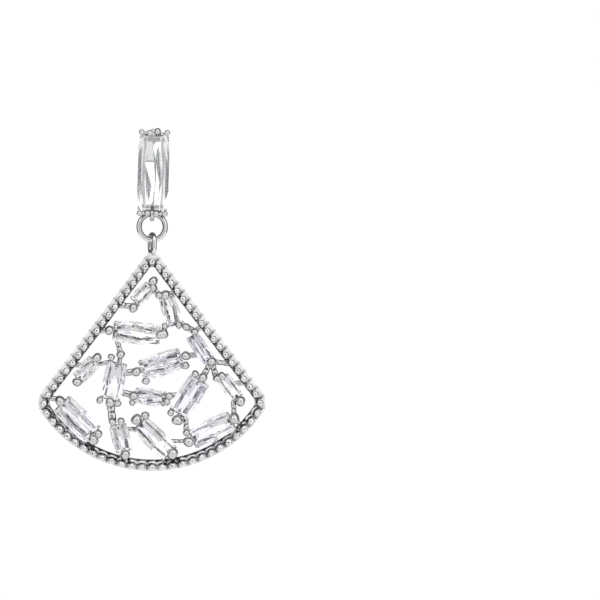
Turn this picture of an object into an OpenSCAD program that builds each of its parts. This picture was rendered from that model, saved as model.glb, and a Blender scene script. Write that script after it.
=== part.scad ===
// A drop earring: a stud with one long stone, a jump ring, and a fan of fourteen stones in a beaded rim.
// Millimetres. The front faces -Y and +Z is up. The origin is on the back of the stud, where its post leaves.

/* [Stud] */
// Length of the stud's long stone
stud_stone_l = 9; // [7:0.1:12]
// Width of the stud's long stone
stud_stone_w = 3.45; // [2.6:0.05:4.5]
// How far the long stone's middle lies below the post
stud_drop = 2.05; // [1.2:0.05:3]
// Lean of the stud about its post, in degrees
stud_lean = 1.6; // [0:0.1:5]
// Height of the stone's widest edge above the back of the stud
stud_girdle = 1.75; // [1.4:0.05:2.4]
// How far the stud's gallery stays inside the stone's outline at its ends
stud_inset = 0.55; // [0.4:0.05:0.9]
// How far the stud's gallery stays inside the stone's outline at its long sides
stud_side_inset = 0.32; // [0.24:0.02:0.4]
// How far the stud's inner wall stays behind the stone's widest edge
stud_wall_drop = 0.55; // [0.45:0.01:0.7]
// How far the back of the stud's front rail lies behind the stone's widest edge
rail_drop = 0.44; // [0.4:0.01:0.5]
// Height of the stud's front rail
rail_h = 0.35; // [0.28:0.01:0.4]
// Diameter of the four pillars between the stud's rails
pillar_d = 0.58; // [0.5:0.02:0.64]
// Thickness of the strap that holds the post
strap_t = 0.45; // [0.4:0.05:0.6]
// Diameter of the claws at the stud's four corners
claw_d = 0.62; // [0.5:0.02:0.8]

/* [Post] */
// Diameter of the pin through the ear
post_d = 0.8; // [0.6:0.05:1]
// Length of the pin behind the stud
post_l = 10; // [8:0.5:12]
// Thickness of the post's foot, which stands in a drilled seat in the stud
foot_d = 0.42; // [0.36:0.02:0.48]
// Depth of the drilled seat
post_seat = 0.3; // [0.2:0.05:0.35]

/* [Links] */
// Thickness of the jump ring's wire
ring_wire = 0.6; // [0.5:0.01:0.7]
// Outside diameter of the jump ring
ring_d = 3.5; // [3:0.05:4]
// Distance of the jump ring's plane in front of the back of the stud
ring_y = 0.9; // [0.8:0.02:1.1]
// Thickness of the wire loop below the stud
loop_wire = 0.5; // [0.4:0.02:0.6]
// Inside radius of the wire loop below the stud
loop_r = 0.42; // [0.38:0.01:0.5]
// Distance of the loop's middle above the stud's lower end
loop_lift = 0.05; // [0:0.01:0.1]
// Thickness of the bail's wire
bail_wire = 0.5; // [0.4:0.02:0.6]
// Radius of the bail's round ends, at the middle of its wire
bail_r = 0.75; // [0.68:0.01:0.9]
// Straight length of the bail between its round ends
bail_straight = 0.66; // [0.4:0.02:1.2]
// Turn of the bail about the vertical, in degrees
bail_turn = 20; // [0:1:25]
// How far the middle of the bail's wire lies below the fan's top
bail_sink = 0.1; // [0.06:0.02:0.16]
// Space between a hanging link and the wire that it hangs on
link_gap = 0.08; // [0.05:0.01:0.12]

/* [Fan] */
// Height of the fan, from where its straight sides would meet to its lowest edge
fan_h = 24.84; // [20:0.1:30]
// Angle between the fan's straight sides, in degrees
fan_angle = 74.4; // [66:0.2:82]
// Radius of the fan's lower edge
bottom_r = 14.9; // [13:0.1:17]
// Radius of the fan's two lower corners
corner_r = 2.1; // [1.6:0.05:2.6]
// Radius of the fan's upper corner
apex_r = 1; // [0.9:0.02:1.15]
// Distance of the fan's weight in front of its back, which hangs straight below the jump ring
fan_weight_h = 0.77; // [0.6:0.01:0.95]

/* [Rim] */
// Width of the rim
rim_w = 1.2; // [1.05:0.01:1.4]
// Thickness of the rim from back to front
rim_t = 1.5; // [1.3:0.05:2]
// Width of the plain band along the rim's outer edge, halfway down the rim
lip_w = 0.32; // [0.28:0.01:0.38]
// How far the ledge and its grains lie below the middle of the rim, so that the band is widest at the top
row_drop = 0.25; // [0.18:0.01:0.3]
// Least width of the plain band
lip_least = 0.12; // [0.1:0.01:0.16]
// Thickness of the ledge that the round grains stand on
ledge_t = 1.15; // [0.95:0.05:1.6]
// Diameter of the round grains on the rim
grain_d = 0.66; // [0.6:0.01:0.72]
// Spacing of the round grains along the rim
grain_pitch = 1.11; // [0.95:0.01:1.4]
// How far the grains bite into the plain band
grain_bite = 0.05; // [0.03:0.01:0.1]
// Distance of a grain's middle in front of the ledge
grain_lift = 0.06; // [0:0.01:0.12]

/* [Stone settings] */
// Diameter of the round prong heads
prong_d = 1.06; // [0.9:0.02:1.2]
// Width of a full bar between two settings
bar_w = 1; // [0.86:0.02:1.14]
// How far the middle of a prong's head lies behind its stone's table
head_sink = 0.05; // [0:0.01:0.1]
// Wall thickness of each stone's gallery
gallery_w = 0.45; // [0.35:0.01:0.55]
// How far each gallery stays inside its stone's outline
gallery_inset = 0.12; // [0.08:0.01:0.16]
// Height of the galleries' back above the back of the rim
gallery_back = 0.15; // [0.1:0.01:0.25]
// Height of the galleries' front above the back of the rim
gallery_front = 1; // [0.85:0.05:1.2]
// Height of the fan stones' widest edge above the back of the rim
girdle_h = 1.35; // [1.2:0.05:1.6]
// Space between a stone and the metal round it
stone_gap = 0.03; // [0.02:0.005:0.06]

/* [Stone cut] */
// Height of a stone's crown as a share of its width
crown_share = 0.13; // [0.1:0.01:0.16]
// Thickness of a stone's girdle as a share of its width
girdle_share = 0.03; // [0.02:0.005:0.05]
// Depth of a stone's pavilion as a share of its width
pavilion_share = 0.37; // [0.32:0.01:0.4]
// Margin between a stone's edge and its table as a share of its width
table_share = 0.17; // [0.13:0.01:0.2]

/* [Hidden] */
$fn = 48;
WIRE_FN = 24; // sides of a wire's section
GRAIN_FN = 32; // sides of a grain
CORNER_STEPS = 12; // sides of the fan outline's corners
EDGE_STEPS = 48; // sides of its lower edge
TIP_SHARE = 0.25; // chamfer of the pin's tip as a share of its diameter
over = 0.1; // how far a cutting shape runs past what it cuts
lap = 0.02; // how far a bar's faces lie inside those of what it joins, so that none share a plane

// The fan stones. Place down: a share of the way from the rim's inner top corner to its lower edge.
// Place across: a share of the fan's half angle. Length and width: shares of the fan's inner half width.
// Turn: of the stone's length from the horizontal, in degrees.
DOWN = 0;
ACROSS = 1;
LENGTH = 2;
WIDTH = 3;
TURN = 4;
STONES = [
    [0.163, -0.498, 0.224, 0.146, 45],
    [0.265, 0.586, 0.298, 0.171, -74],
    [0.363, -0.348, 0.459, 0.215, -5.5],
    [0.535, 0.807, 0.303, 0.142, -55],
    [0.513, 0.143, 0.420, 0.225, 17],
    [0.694, -0.861, 0.249, 0.156, 49],
    [0.646, -0.489, 0.376, 0.210, 79],
    [0.678, -0.024, 0.303, 0.166, -8],
    [0.717, 0.418, 0.405, 0.234, 57],
    [0.817, 0.871, 0.259, 0.146, -54],
    [0.933, -0.696, 0.444, 0.239, -45],
    [0.910, -0.275, 0.278, 0.181, -76],
    [0.890, 0.023, 0.429, 0.210, -44],
    [0.931, 0.535, 0.439, 0.220, 26]
];

// The prongs. Stone: its number. Along and side: shares of the stone's half length and half width.
// Size: a share of the prong heads' diameter.
STONE = 0;
ALONG = 1;
SIDE = 2;
SIZE = 3;
PRONGS = [
    [1, 1.48, 0.2, 0.95], [1, 1.08, -0.45, 0.8], [1, -1.4, -0.45, 1],
    [2, -1.1, -0.1, 1], [2, -1.2, -0.8, 0.75], [2, 0.86, -1.12, 0.7], [2, 1.05, 0.45, 0.75],
    [2, 1.3, 1.2, 0.85], [3, -1.16, 0, 1], [3, 1.02, 0.05, 1], [3, 1.16, 0.15, 1],
    [4, -1.1, 0.65, 0.75], [4, 1.12, 0.2, 1],
    [5, 1.2, 0.08, 1], [5, 1.06, -0.72, 0.8], [5, -1.22, 0.02, 1], [5, -0.92, -1.0, 0.8],
    [6, 1.25, 0, 1], [6, -1.2, -0.15, 1],
    [7, 1.42, -0.15, 0.9], [7, 1.2, 0.65, 0.75], [7, -1.12, -0.05, 1.1], [7, -1.1, 0.95, 0.75],
    [7, -1.1, -0.75, 0.75],
    [8, -1.06, -0.1, 1], [8, -1.1, -0.95, 0.65], [8, 1.12, -0.3, 0.75], [8, 1.22, 0.45, 0.8],
    [9, 1.14, -0.1, 1], [9, 1.1, 0.6, 0.75], [9, -1.25, -0.25, 1.15], [9, -1.12, 0.55, 0.75],
    [10, -1.05, 0, 0.9], [10, -1.15, -0.75, 0.75], [10, 1.3, 0.05, 1.05],
    [11, -1.1, 0.1, 1.1], [11, 1.14, -0.25, 1.1], [11, 1.12, 0.4, 0.85],
    [12, -1.25, -0.45, 0.8], [12, -1.14, 0.45, 0.8], [12, 1.2, 0.05, 1],
    [13, -1.2, 0.1, 1.15], [13, -1.04, 0.95, 0.85], [13, 1.06, 0.15, 1.15],
    [14, 1.12, 0.05, 1.15], [14, -1.16, -0.05, 1.15], [14, -1.08, 0.75, 0.75]
];

// The bars that join two settings: a point on one stone, as above, a point on another, and the bar's
// width as a share of a full bar's.
STONE_B = 3;
ALONG_B = 4;
SIDE_B = 5;
BAR = 6;
LINKS = [
    [1, 1.02, -0.45, 2, -1.2, -0.8, 0.7],
    [2, 1.3, 1.2, 4, -1.1, 0.65, 0.7],
    [2, 0.86, -1.12, 3, 1.16, 0.15, 0.6],
    [3, -0.8, -0.8, 7, 1.42, -0.15, 0.6],
    [4, 0.3, -0.7, 5, 1.2, 0.08, 0.6],
    [4, 1.12, 0.2, 9, 1.14, -0.1, 0.7],
    [4, 1.12, 0.2, 10, -1.15, -0.75, 0.7],
    [5, -1.22, 0.02, 7, 0.5, -0.8, 0.75],
    [6, 0.9, -0.7, 7, 0.95, 0.7, 0.5],
    [7, -0.5, -0.8, 8, -1.06, -0.1, 0.75],
    [7, -1.12, -0.05, 12, -1.25, -0.45, 0.9],
    [8, 1.22, 0.45, 9, -0.2, 0.8, 0.6],
    [9, -0.9, -0.7, 14, -1.08, 0.75, 0.6],
    [10, 0.95, -0.6, 14, 1.12, 0.05, 0.6],
    [12, -0.5, 0.7, 13, -0.9, -0.6, 0.5],
    [13, 0.6, 0.8, 14, -1.16, -0.05, 0.45]
];

// The bars that join a setting to the rim: a point on a stone, as above, the share of the way along the
// rim from its top to its lowest point, negative to the left, and the bar's width as above.
REACH = 3;
TIE_BAR = 4;
TIES = [
    [1, -1.3, -0.4, -0.185, 0.7],
    [2, -1.1, -0.1, 0.134, 0.6],
    [3, -1.16, 0, -0.289, 0.7],
    [4, -1.1, 0.65, 0.27, 0.6],
    [4, 1.12, 0.2, 0.426, 0.6],
    [6, 0, 0.7, -0.425, 0.6],
    [10, 0, 0.7, 0.498, 0.6],
    [11, -1.1, 0.1, -0.558, 0.6],
    [11, 0.2, -0.7, -0.7, 0.6],
    [12, 1.2, 0.05, -0.885, 0.8],
    [13, 1.06, 0.15, 0.955, 0.6],
    [14, 0, -0.7, 0.795, 0.6],
    [14, 1.12, 0.05, 0.68, 0.5]
];
TIE_T = 0.75; // thickness of the bars as a share of the galleries' height

// The stud's claws and grains: a share of the half length, of the half width, and of the claws' diameter
CLAWS = [
    [1.0, -0.82, 1], [1.0, 0.82, 1], [-1.0, -0.82, 1], [-1.0, 0.82, 1],
    [0.98, -0.3, 1.1], [1.03, 0.2, 1.2], [-0.99, -0.3, 0.95], [-1.0, 0.25, 1.05]
];
FOOT_SHARE = 0.56; // width of a prong's foot as a share of its head
POST_SHARE = 0.74; // thickness of a prong as a share of its head

// Points of an arc round the point c, from angle a0 to a1, moved inwards by inset and downwards by drop
function arc(c, r, a0, a1, steps, inset, drop) = [for (i = [0:steps]) let(a = a0 + (a1 - a0) * i / steps)
    c + (r - lowered(inset, drop, a)) * polar(a)];
function lowered(inset, drop, a) = drop == 0 ? inset : max(lip_least, inset + drop * sin(a));
function polar(a) = [cos(a), sin(a)];
function clamped(v, limit) = max(-limit, min(limit, v));

// Where the fan's straight sides, corners and lower edge meet. The fan is drawn in a plane of its own,
// with its front towards +Z, +Y up, and the point where its sides would meet at the origin.
half_a = fan_angle / 2;
arc_y = fan_h - bottom_r;
corner_t = arc_y * cos(half_a) + sqrt(pow(arc_y * cos(half_a), 2) - pow(corner_r, 2)
    + 2 * arc_y * corner_r * sin(half_a) - pow(arc_y, 2) + pow(bottom_r - corner_r, 2));
corner_x = corner_t * sin(half_a) - corner_r * cos(half_a);
corner_y = -corner_t * cos(half_a) - corner_r * sin(half_a);
corner_a = atan2(corner_y + arc_y, corner_x);
apex_y = -apex_r / sin(half_a);
fan_top = apex_y + apex_r;

// The fan's outline, moved inwards by inset and downwards by drop
function fan_outline(inset, drop = 0) = concat(
    inset < apex_r - over / 2 ? arc([0, apex_y], apex_r, 180 - half_a, half_a, CORNER_STEPS, inset, drop)
        : [[0, -inset / sin(half_a)]],
    arc([corner_x, corner_y], corner_r, half_a, corner_a, CORNER_STEPS, inset, drop),
    arc([0, -arc_y], bottom_r, corner_a, -180 - corner_a, EDGE_STEPS, inset, drop),
    arc([-corner_x, corner_y], corner_r, -180 - corner_a, -180 - half_a, CORNER_STEPS, inset, drop));

// The row of grains: how long each stretch of its right half is, and the point at a distance from its top
row_in = lip_w + grain_d / 2 - grain_bite;
function row_at(a) = lowered(row_in, row_drop, a);
row_apex = (apex_r - row_in) * (90 - half_a) * PI / 180;
row_side = corner_t - apex_r / tan(half_a);
row_corner = (corner_r - row_in) * (half_a - corner_a) * PI / 180;
row_bottom = (bottom_r - row_in) * (corner_a + 90) * PI / 180;
row_half = row_apex + row_side + row_corner + row_bottom;
grains_half = round(row_half / grain_pitch);
function row_point(s) =
    s < row_apex ? let(a = 90 - s / row_apex * (90 - half_a)) [0, apex_y] + (apex_r - row_at(a)) * polar(a)
    : s < row_apex + row_side ? let(t = apex_r / tan(half_a) + s - row_apex)
        t * polar(half_a - 90) - row_at(half_a) * polar(half_a)
    : s < row_apex + row_side + row_corner ?
        let(a = half_a + (s - row_apex - row_side) / row_corner * (corner_a - half_a))
        [corner_x, corner_y] + (corner_r - row_at(a)) * polar(a)
    : let(a = corner_a - (s - row_apex - row_side - row_corner) / row_bottom * (90 + corner_a))
        [0, -arc_y] + (bottom_r - row_at(a)) * polar(a);
function rim_point(share) = let(p = row_point(abs(share) * row_half)) share < 0 ? [-p.x, p.y] : p;

// The field inside the rim, and each stone's place, size and points in it
field_top = -rim_w / sin(half_a);
field_w = corner_x + corner_r - rim_w;
function field_reach(a) = let(h = arc_y + field_top, r = bottom_r - rim_w)
    h * cos(a) + sqrt(r * r - pow(h * sin(a), 2));
function stone(i) = STONES[i - 1];
function stone_l(i) = stone(i)[LENGTH] * field_w;
function stone_w(i) = stone(i)[WIDTH] * field_w;
function stone_at(i) = let(a = stone(i)[ACROSS] * half_a)
    [0, field_top] + stone(i)[DOWN] * field_reach(a) * polar(a - 90);
function turned(p, a) = [p.x * cos(a) - p.y * sin(a), p.x * sin(a) + p.y * cos(a)];
function on_stone(i, along, side) =
    stone_at(i) + turned([along * stone_l(i), side * stone_w(i)] / 2, stone(i)[TURN]);
// The middle of stone i's gallery wall nearest to a point given as shares of its half sizes
function on_wall(i, along, side) = let(m = 2 * gallery_inset + gallery_w)
    stone_at(i) + turned([clamped(along * stone_l(i), stone_l(i) - m),
        clamped(side * stone_w(i), stone_w(i) - m)] / 2, stone(i)[TURN]);

// A step-cut stone's outline at a height, as four corners moved inwards by inset
function step_ring(l, w, inset, z) = [for (c = [[-1, -1], [1, -1], [1, 1], [-1, 1]])
    [c.x * (l / 2 - inset), c.y * (w / 2 - inset), z]];
// Its rings from the keel to the table, as shares of the width: the inset, and the height from the middle
STEPS = [
    [0.47, -pavilion_share - girdle_share / 2],
    [0.21, -0.6 * pavilion_share - girdle_share / 2],
    [0, -girdle_share / 2],
    [0, girdle_share / 2],
    [0.4 * table_share, 0.6 * crown_share + girdle_share / 2],
    [table_share, crown_share + girdle_share / 2]
];
module gem(l, w, grow = 0) {
    rings = [for (s = STEPS) step_ring(l, w, s[0] * w - grow, s[1] * w + sign(s[1]) * grow)];
    last = len(STEPS) - 1;
    polyhedron(
        points = [for (r = rings) each r],
        faces = concat([[0, 1, 2, 3]], [[for (k = [3:-1:0]) 4 * last + k]],
            [for (i = [0:last - 1], k = [0:3]) [4 * i + k, 4 * i + 4 + k, 4 * i + 4 + (k + 1) % 4,
                4 * i + (k + 1) % 4]]));
}

// A straight bar of width w between two points, from height z0 to z1
module bar(p, q, w, z0, z1) {
    d = q - p;
    translate([p.x, p.y, z0]) rotate([0, 0, atan2(d.y, d.x)]) translate([0, -w / 2, 0])
        cube([norm(d), w, z1 - z0]);
}

// A rectangular gallery: a wall of thickness t inside a rectangle l by w, from height z0 to z1
module gallery(l, w, t, z0, z1) {
    translate([-l / 2, -w / 2, z0])
        difference() {
            cube([l, w, z1 - z0]);
            translate([t, t, -over]) cube([l - 2 * t, w - 2 * t, z1 - z0 + 2 * over]);
        }
}

// A prong from height z0 with its round head centred at z1
module prong(d, z0, z1) {
    translate([0, 0, z0]) cylinder(d = d * POST_SHARE, h = z1 - z0);
    translate([0, 0, z1]) sphere(d = d);
}

// Puts a shape drawn with its front towards +Z upright, with its front towards -Y
module upright() {
    rotate([90, 0, 0]) children();
}

// The stud, drawn like the fan: the post's foot is at the origin and the back of the stud at height 0
stud_in = [stud_stone_l - 2 * stud_inset, stud_stone_w - 2 * stud_side_inset];
stud_end = -stud_drop - stud_stone_l / 2;
loop_y = stud_end + loop_lift;
loop_turn_r = loop_r + loop_wire / 2;
function on_stud(along, side) = [side * stud_stone_w / 2, -stud_drop + along * stud_stone_l / 2];
stud_front = stud_girdle + (girdle_share / 2 + crown_share) * stud_stone_w;

module stud_metal() {
    rail_z = stud_girdle - rail_drop;
    translate([0, -stud_drop, 0]) {
        gallery(stud_in.y, stud_in.x, gallery_w, 0, stud_girdle - stud_wall_drop);
        gallery(stud_stone_w - 2 * gallery_inset, stud_stone_l - 2 * gallery_inset, gallery_w, rail_z,
            rail_z + rail_h);
    }
    // the cross strap that holds the post
    translate([-stud_in.y / 2, -post_d, 0]) cube([stud_in.y, 2 * post_d, strap_t]);
    // four pillars between the two rails, and the claws and grains on the front one
    for (x = [-1, 1], y = [-1, 1])
        translate([x * (stud_in.y - gallery_w) / 2, -stud_drop + y * (stud_in.x - gallery_w) / 2, 0])
            cylinder(d = pillar_d, h = rail_z + rail_h / 2);
    for (c = CLAWS)
        translate(on_stud(c[0], c[1])) prong(c[2] * claw_d, rail_z + lap, stud_front - head_sink);
    // the wire loop that the jump ring hangs in
    translate([0, loop_y, ring_y]) rotate([0, 90, 0])
        rotate_extrude() translate([loop_turn_r, 0]) circle(d = loop_wire, $fn = WIRE_FN);
}

module stud_place() {
    rotate([0, stud_lean, 0]) upright() children();
}

module stud_setting() {
    color("gainsboro") stud_place() difference() {
        stud_metal();
        translate([0, -stud_drop, stud_girdle]) rotate([0, 0, 90])
            gem(stud_stone_l, stud_stone_w, stone_gap);
        translate([0, 0, -over]) cylinder(d = foot_d + 2 * stone_gap, h = post_seat + over);
    }
}

module stud_stone() {
    color("white") stud_place() translate([0, -stud_drop, stud_girdle]) rotate([0, 0, 90])
        gem(stud_stone_l, stud_stone_w);
}

// The plain pin, with a chamfered tip, its shoulder on the stud's back and its foot in the drilled seat
module ear_post() {
    tip = TIP_SHARE * post_d;
    color("silver") rotate([90, 0, 0]) rotate_extrude()
        polygon([[0, -post_l], [post_d / 2 - tip, -post_l], [post_d / 2, -post_l + tip],
            [post_d / 2, 0], [foot_d / 2, 0], [foot_d / 2, post_seat - stone_gap],
            [0, post_seat - stone_gap]]);
}

// The jump ring hangs in the stud's loop, and the fan's bail hangs on the jump ring
ring_r = (ring_d - ring_wire) / 2;
hinge = [sin(stud_lean) * loop_y, loop_y * cos(stud_lean) - loop_r + ring_wire / 2 + link_gap];
ring_mid = [hinge.x, hinge.y - ring_r];
module jump_ring() {
    color("silver") translate([ring_mid.x, -ring_y, ring_mid.y]) rotate([90, 0, 0])
        rotate_extrude() translate([ring_r, 0]) circle(d = ring_wire, $fn = WIRE_FN);
}

// The fan, with its top where the bail's lower end is soldered in, and its weight below the jump ring
bail_top = ring_mid.y - ring_r + ring_wire / 2 + link_gap + bail_wire / 2;
bail_bottom = bail_top - bail_straight - 2 * bail_r;
fan_place_z = bail_bottom + bail_sink - fan_top;
module fan_at() {
    translate([ring_mid.x, -ring_y + fan_weight_h, fan_place_z]) upright() children();
}

// The wire bail, drawn upright round its own middle
module bail() {
    rotate([0, 0, bail_turn]) {
        for (s = [0, 180])
            rotate([s, 0, 0]) translate([0, 0, bail_straight / 2]) rotate([90, 0, 90])
                rotate_extrude(angle = 180) translate([bail_r, 0]) circle(d = bail_wire, $fn = WIRE_FN);
        for (s = [-1, 1])
            translate([0, s * bail_r, -bail_straight / 2])
                cylinder(d = bail_wire, h = bail_straight, $fn = WIRE_FN);
    }
}

// The rim: a ledge all round, a higher plain band along its outer edge, and the row of round grains
module rim() {
    difference() {
        linear_extrude(rim_t) polygon(fan_outline(0));
        translate([0, 0, -over]) linear_extrude(rim_t + 2 * over) polygon(fan_outline(rim_w));
        translate([0, 0, ledge_t]) linear_extrude(rim_t) polygon(fan_outline(lip_w, row_drop));
    }
    for (i = [0:grains_half], s = [-1, 1])
        if (s > 0 || (i > 0 && i < grains_half))
            translate(concat(rim_point(s * i / grains_half), ledge_t + grain_lift))
                sphere(d = grain_d, $fn = GRAIN_FN);
}

// Every stone's gallery, its prongs, and the bars between the settings and to the rim
module settings() {
    bar_top = gallery_back + TIE_T * (gallery_front - gallery_back);
    for (i = [1:len(STONES)])
        translate(concat(stone_at(i), 0)) rotate([0, 0, stone(i)[TURN]])
            gallery(stone_l(i) - 2 * gallery_inset, stone_w(i) - 2 * gallery_inset, gallery_w, gallery_back,
                gallery_front);
    for (p = PRONGS) {
        at = on_stone(p[STONE], p[ALONG], p[SIDE]);
        d = p[SIZE] * prong_d;
        translate(concat(at, 0))
            prong(d, gallery_back,
                girdle_h + (girdle_share / 2 + crown_share) * stone_w(p[STONE]) - head_sink);
        bar(at, on_wall(p[STONE], p[ALONG], p[SIDE]), FOOT_SHARE * d, gallery_back + lap, bar_top);
    }
    for (b = LINKS)
        bar(on_stone(b[STONE], b[ALONG], b[SIDE]), on_stone(b[STONE_B], b[ALONG_B], b[SIDE_B]),
            b[BAR] * bar_w, gallery_back + 2 * lap, bar_top - lap);
    for (b = TIES)
        bar(on_stone(b[STONE], b[ALONG], b[SIDE]), rim_point(b[REACH]), b[TIE_BAR] * bar_w,
            gallery_back + 3 * lap, bar_top - 2 * lap);
}

module fan_stone_place(i) {
    translate(concat(stone_at(i), girdle_h)) rotate([0, 0, stone(i)[TURN]]) children();
}

module fan_frame() {
    color("gainsboro") {
        translate([ring_mid.x, -ring_y, (bail_top + bail_bottom) / 2]) bail();
        fan_at() difference() {
            union() {
                rim();
                settings();
            }
            for (i = [1:len(STONES)])
                fan_stone_place(i) gem(stone_l(i), stone_w(i), stone_gap);
        }
    }
}

module fan_stone(i) {
    color("white") fan_at() fan_stone_place(i) gem(stone_l(i), stone_w(i));
}

stud_setting();
ear_post();
stud_stone();
jump_ring();
fan_frame();
for (i = [1:len(STONES)])
    fan_stone(i);
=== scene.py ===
"""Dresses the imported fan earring: smooth bright silver, and clear stones cut by planes.

Every shape is worked out in millimetres from the same sizes as the part's source, in the plane of its own
sub-assembly (+x to the right, +y up, +z towards the front), and then placed in the shared frame in metres.
"""
from __future__ import annotations

import logging
import math
from dataclasses import dataclass, field
from enum import Enum
from functools import cached_property
from itertools import combinations
from typing import Sequence, Union

import bmesh
import bpy
import numpy as np
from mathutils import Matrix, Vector

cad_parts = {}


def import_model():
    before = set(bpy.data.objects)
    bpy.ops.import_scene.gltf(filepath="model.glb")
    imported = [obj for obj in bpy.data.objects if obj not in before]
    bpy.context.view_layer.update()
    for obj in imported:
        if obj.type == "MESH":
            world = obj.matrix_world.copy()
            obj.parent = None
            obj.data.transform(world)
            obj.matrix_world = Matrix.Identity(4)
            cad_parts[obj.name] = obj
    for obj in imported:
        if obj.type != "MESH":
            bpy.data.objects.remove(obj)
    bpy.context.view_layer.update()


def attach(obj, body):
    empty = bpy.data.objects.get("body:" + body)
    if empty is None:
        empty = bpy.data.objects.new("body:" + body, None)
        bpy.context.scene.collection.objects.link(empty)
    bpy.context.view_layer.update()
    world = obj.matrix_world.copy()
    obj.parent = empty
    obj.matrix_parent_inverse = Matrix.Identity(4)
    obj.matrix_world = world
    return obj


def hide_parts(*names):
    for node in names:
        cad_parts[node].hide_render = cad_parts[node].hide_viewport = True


LOG = logging.getLogger("fan_earring")
MM = 0.001
TAU = 2 * math.pi
# how far pieces of the same metal run into each other, the tightest corner, and what is one point
LAP = 0.02
LEAST_R = 0.03
MERGE = 0.0002
Triple = tuple[float, float, float]
Number = Union[float, "Link"]


# Nodes and finishes

class Link:
    """An output of a material's nodes, with arithmetic that adds Math nodes."""

    def __init__(self, nodes: "Nodes", socket: bpy.types.NodeSocket) -> None:
        """Keeps the socket and the nodes that it belongs to."""
        self.nodes, self.socket = nodes, socket

    def _math(self, operation: str, first: Number, second: Number) -> "Link":
        """Adds one Math node and returns its output."""
        return self.nodes.add("ShaderNodeMath", {"operation": operation}, {0: first, 1: second})

    def __add__(self, other: Number) -> "Link":
        """self + other."""
        return self._math("ADD", self, other)

    def __sub__(self, other: Number) -> "Link":
        """self - other."""
        return self._math("SUBTRACT", self, other)

    def __rsub__(self, other: Number) -> "Link":
        """other - self."""
        return self._math("SUBTRACT", other, self)

    def __mul__(self, other: Number) -> "Link":
        """self * other."""
        return self._math("MULTIPLY", self, other)

    __radd__ = __add__
    __rmul__ = __mul__


class Nodes:
    """The node tree of one material or of the world."""

    def __init__(self, tree: bpy.types.NodeTree) -> None:
        """Empties the tree."""
        self.tree = tree
        tree.nodes.clear()

    def add(self, kind: str, settings: dict | None = None, values: dict | None = None,
            output: int | str = 0) -> Link:
        """Adds a node.

        Args:
            kind: the node's type.
            settings: its own settings, set first; "stops" is a ramp's list of place and colour.
            values: what goes into its sockets, by number or name: a Link, a number or a colour.
            output: the output wanted, by number or name.

        Returns:
            That output.
        """
        node = self.tree.nodes.new(kind)
        for key, value in (settings or {}).items():
            if key == "stops":
                self._set_stops(node, value)
            else:
                setattr(node, key, value)
        for key, value in (values or {}).items():
            if isinstance(value, Link):
                self.tree.links.new(value.socket, node.inputs[key])
            else:
                node.inputs[key].default_value = value
        return Link(self, node.outputs[output] if len(node.outputs) else None)

    @staticmethod
    def _set_stops(node: bpy.types.Node, stops: Sequence[tuple[float, Triple]]) -> None:
        """Gives a colour ramp its stops."""
        ramp = node.color_ramp
        while len(ramp.elements) < len(stops):
            ramp.elements.new(0.5)
        for element, (place, colour) in zip(ramp.elements, stops):
            element.position = place
            element.color = (*colour, 1.0)

    def noise(self, scale: float, detail: float) -> Link:
        """Noise over the piece, from 0 to 1, with scale spots in a metre and detail finer layers."""
        where = self.add("ShaderNodeTexCoord", output="Object")
        return self.add("ShaderNodeTexNoise", {}, {"Vector": where, "Scale": scale, "Detail": detail})

    def ramp(self, stops: Sequence[tuple[float, Triple]], value: Link) -> Link:
        """A colour ramp over a value."""
        return self.add("ShaderNodeValToRGB", {"stops": stops}, {0: value})

    def mix(self, factor: Number, first: Link | Triple, second: Triple) -> Link:
        """The first colour, which turns to the second as the factor grows from 0 to 1."""
        first = first if isinstance(first, Link) else (*first, 1)
        return self.add("ShaderNodeMix", {"data_type": "RGBA"},
                        {"Factor": factor, 6: first, 7: (*second, 1)}, 2)

    def bump(self, height: Link, strength: float, relief: float) -> Link:
        """The normal over a relief of some millimetres."""
        return self.add("ShaderNodeBump", {}, {"Height": height, "Strength": strength,
                                               "Distance": relief * MM})

    def surface(self, values: dict) -> None:
        """Adds the material's shader with its values, and the material's output."""
        shader = self.add("ShaderNodeBsdfPrincipled", {}, values)
        self.add("ShaderNodeOutputMaterial", {}, {"Surface": shader})


def new_material(name: str) -> tuple[bpy.types.Material, Nodes]:
    """A new material and its empty node tree."""
    made = bpy.data.materials.new(name)
    made.use_nodes = True
    return made, Nodes(made.node_tree)


@dataclass(frozen=True)
class Silver:
    """Rhodium-bright silver. Roughness is a middle value and its spread, relief is in millimetres, pits and
    clouds are spots in a metre, and film says between which cloud values the film sets in."""

    name: str
    colour: Triple
    shade: Triple
    roughness: float
    spread: float
    relief: float
    pits: float = 6000.0
    clouds: float = 700.0
    film: tuple[float, float] = (0.42, 0.72)
    film_share: float = 0.5
    # the colour that painted shade turns the metal towards, in hollows and on shaded sides
    painted_shade: Triple = (0.22, 0.22, 0.23)

    def material(self) -> bpy.types.Material:
        """The finish as a material: cloudy polish, fine casting pits, and a faint darker film in places.

        A float attribute on the piece's points paints shade: as it grows, it turns the colour towards the
        dark grey of the painted shade.
        """
        made, nodes = new_material(self.name)
        cloud, fine = nodes.noise(self.clouds, 3.0), nodes.noise(self.pits, 2.0)
        film = nodes.ramp([(self.film[0], (0, 0, 0)), (self.film[1], (1, 1, 1))], cloud)
        colour = nodes.mix(film * self.film_share, self.colour, self.shade)
        # how much painted shade each point carries, read from the piece's attribute
        depth = nodes.add("ShaderNodeAttribute", {"attribute_name": "painted_shade"}, output="Fac")
        rough = (cloud - 0.5) * self.spread + (fine - 0.5) * (0.5 * self.spread) + self.roughness
        nodes.surface({"Base Color": nodes.mix(depth, colour, self.painted_shade), "Roughness": rough,
                       "Normal": nodes.bump(fine, 0.4, self.relief), "Metallic": 1.0, "IOR": 1.5})
        return made


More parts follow.
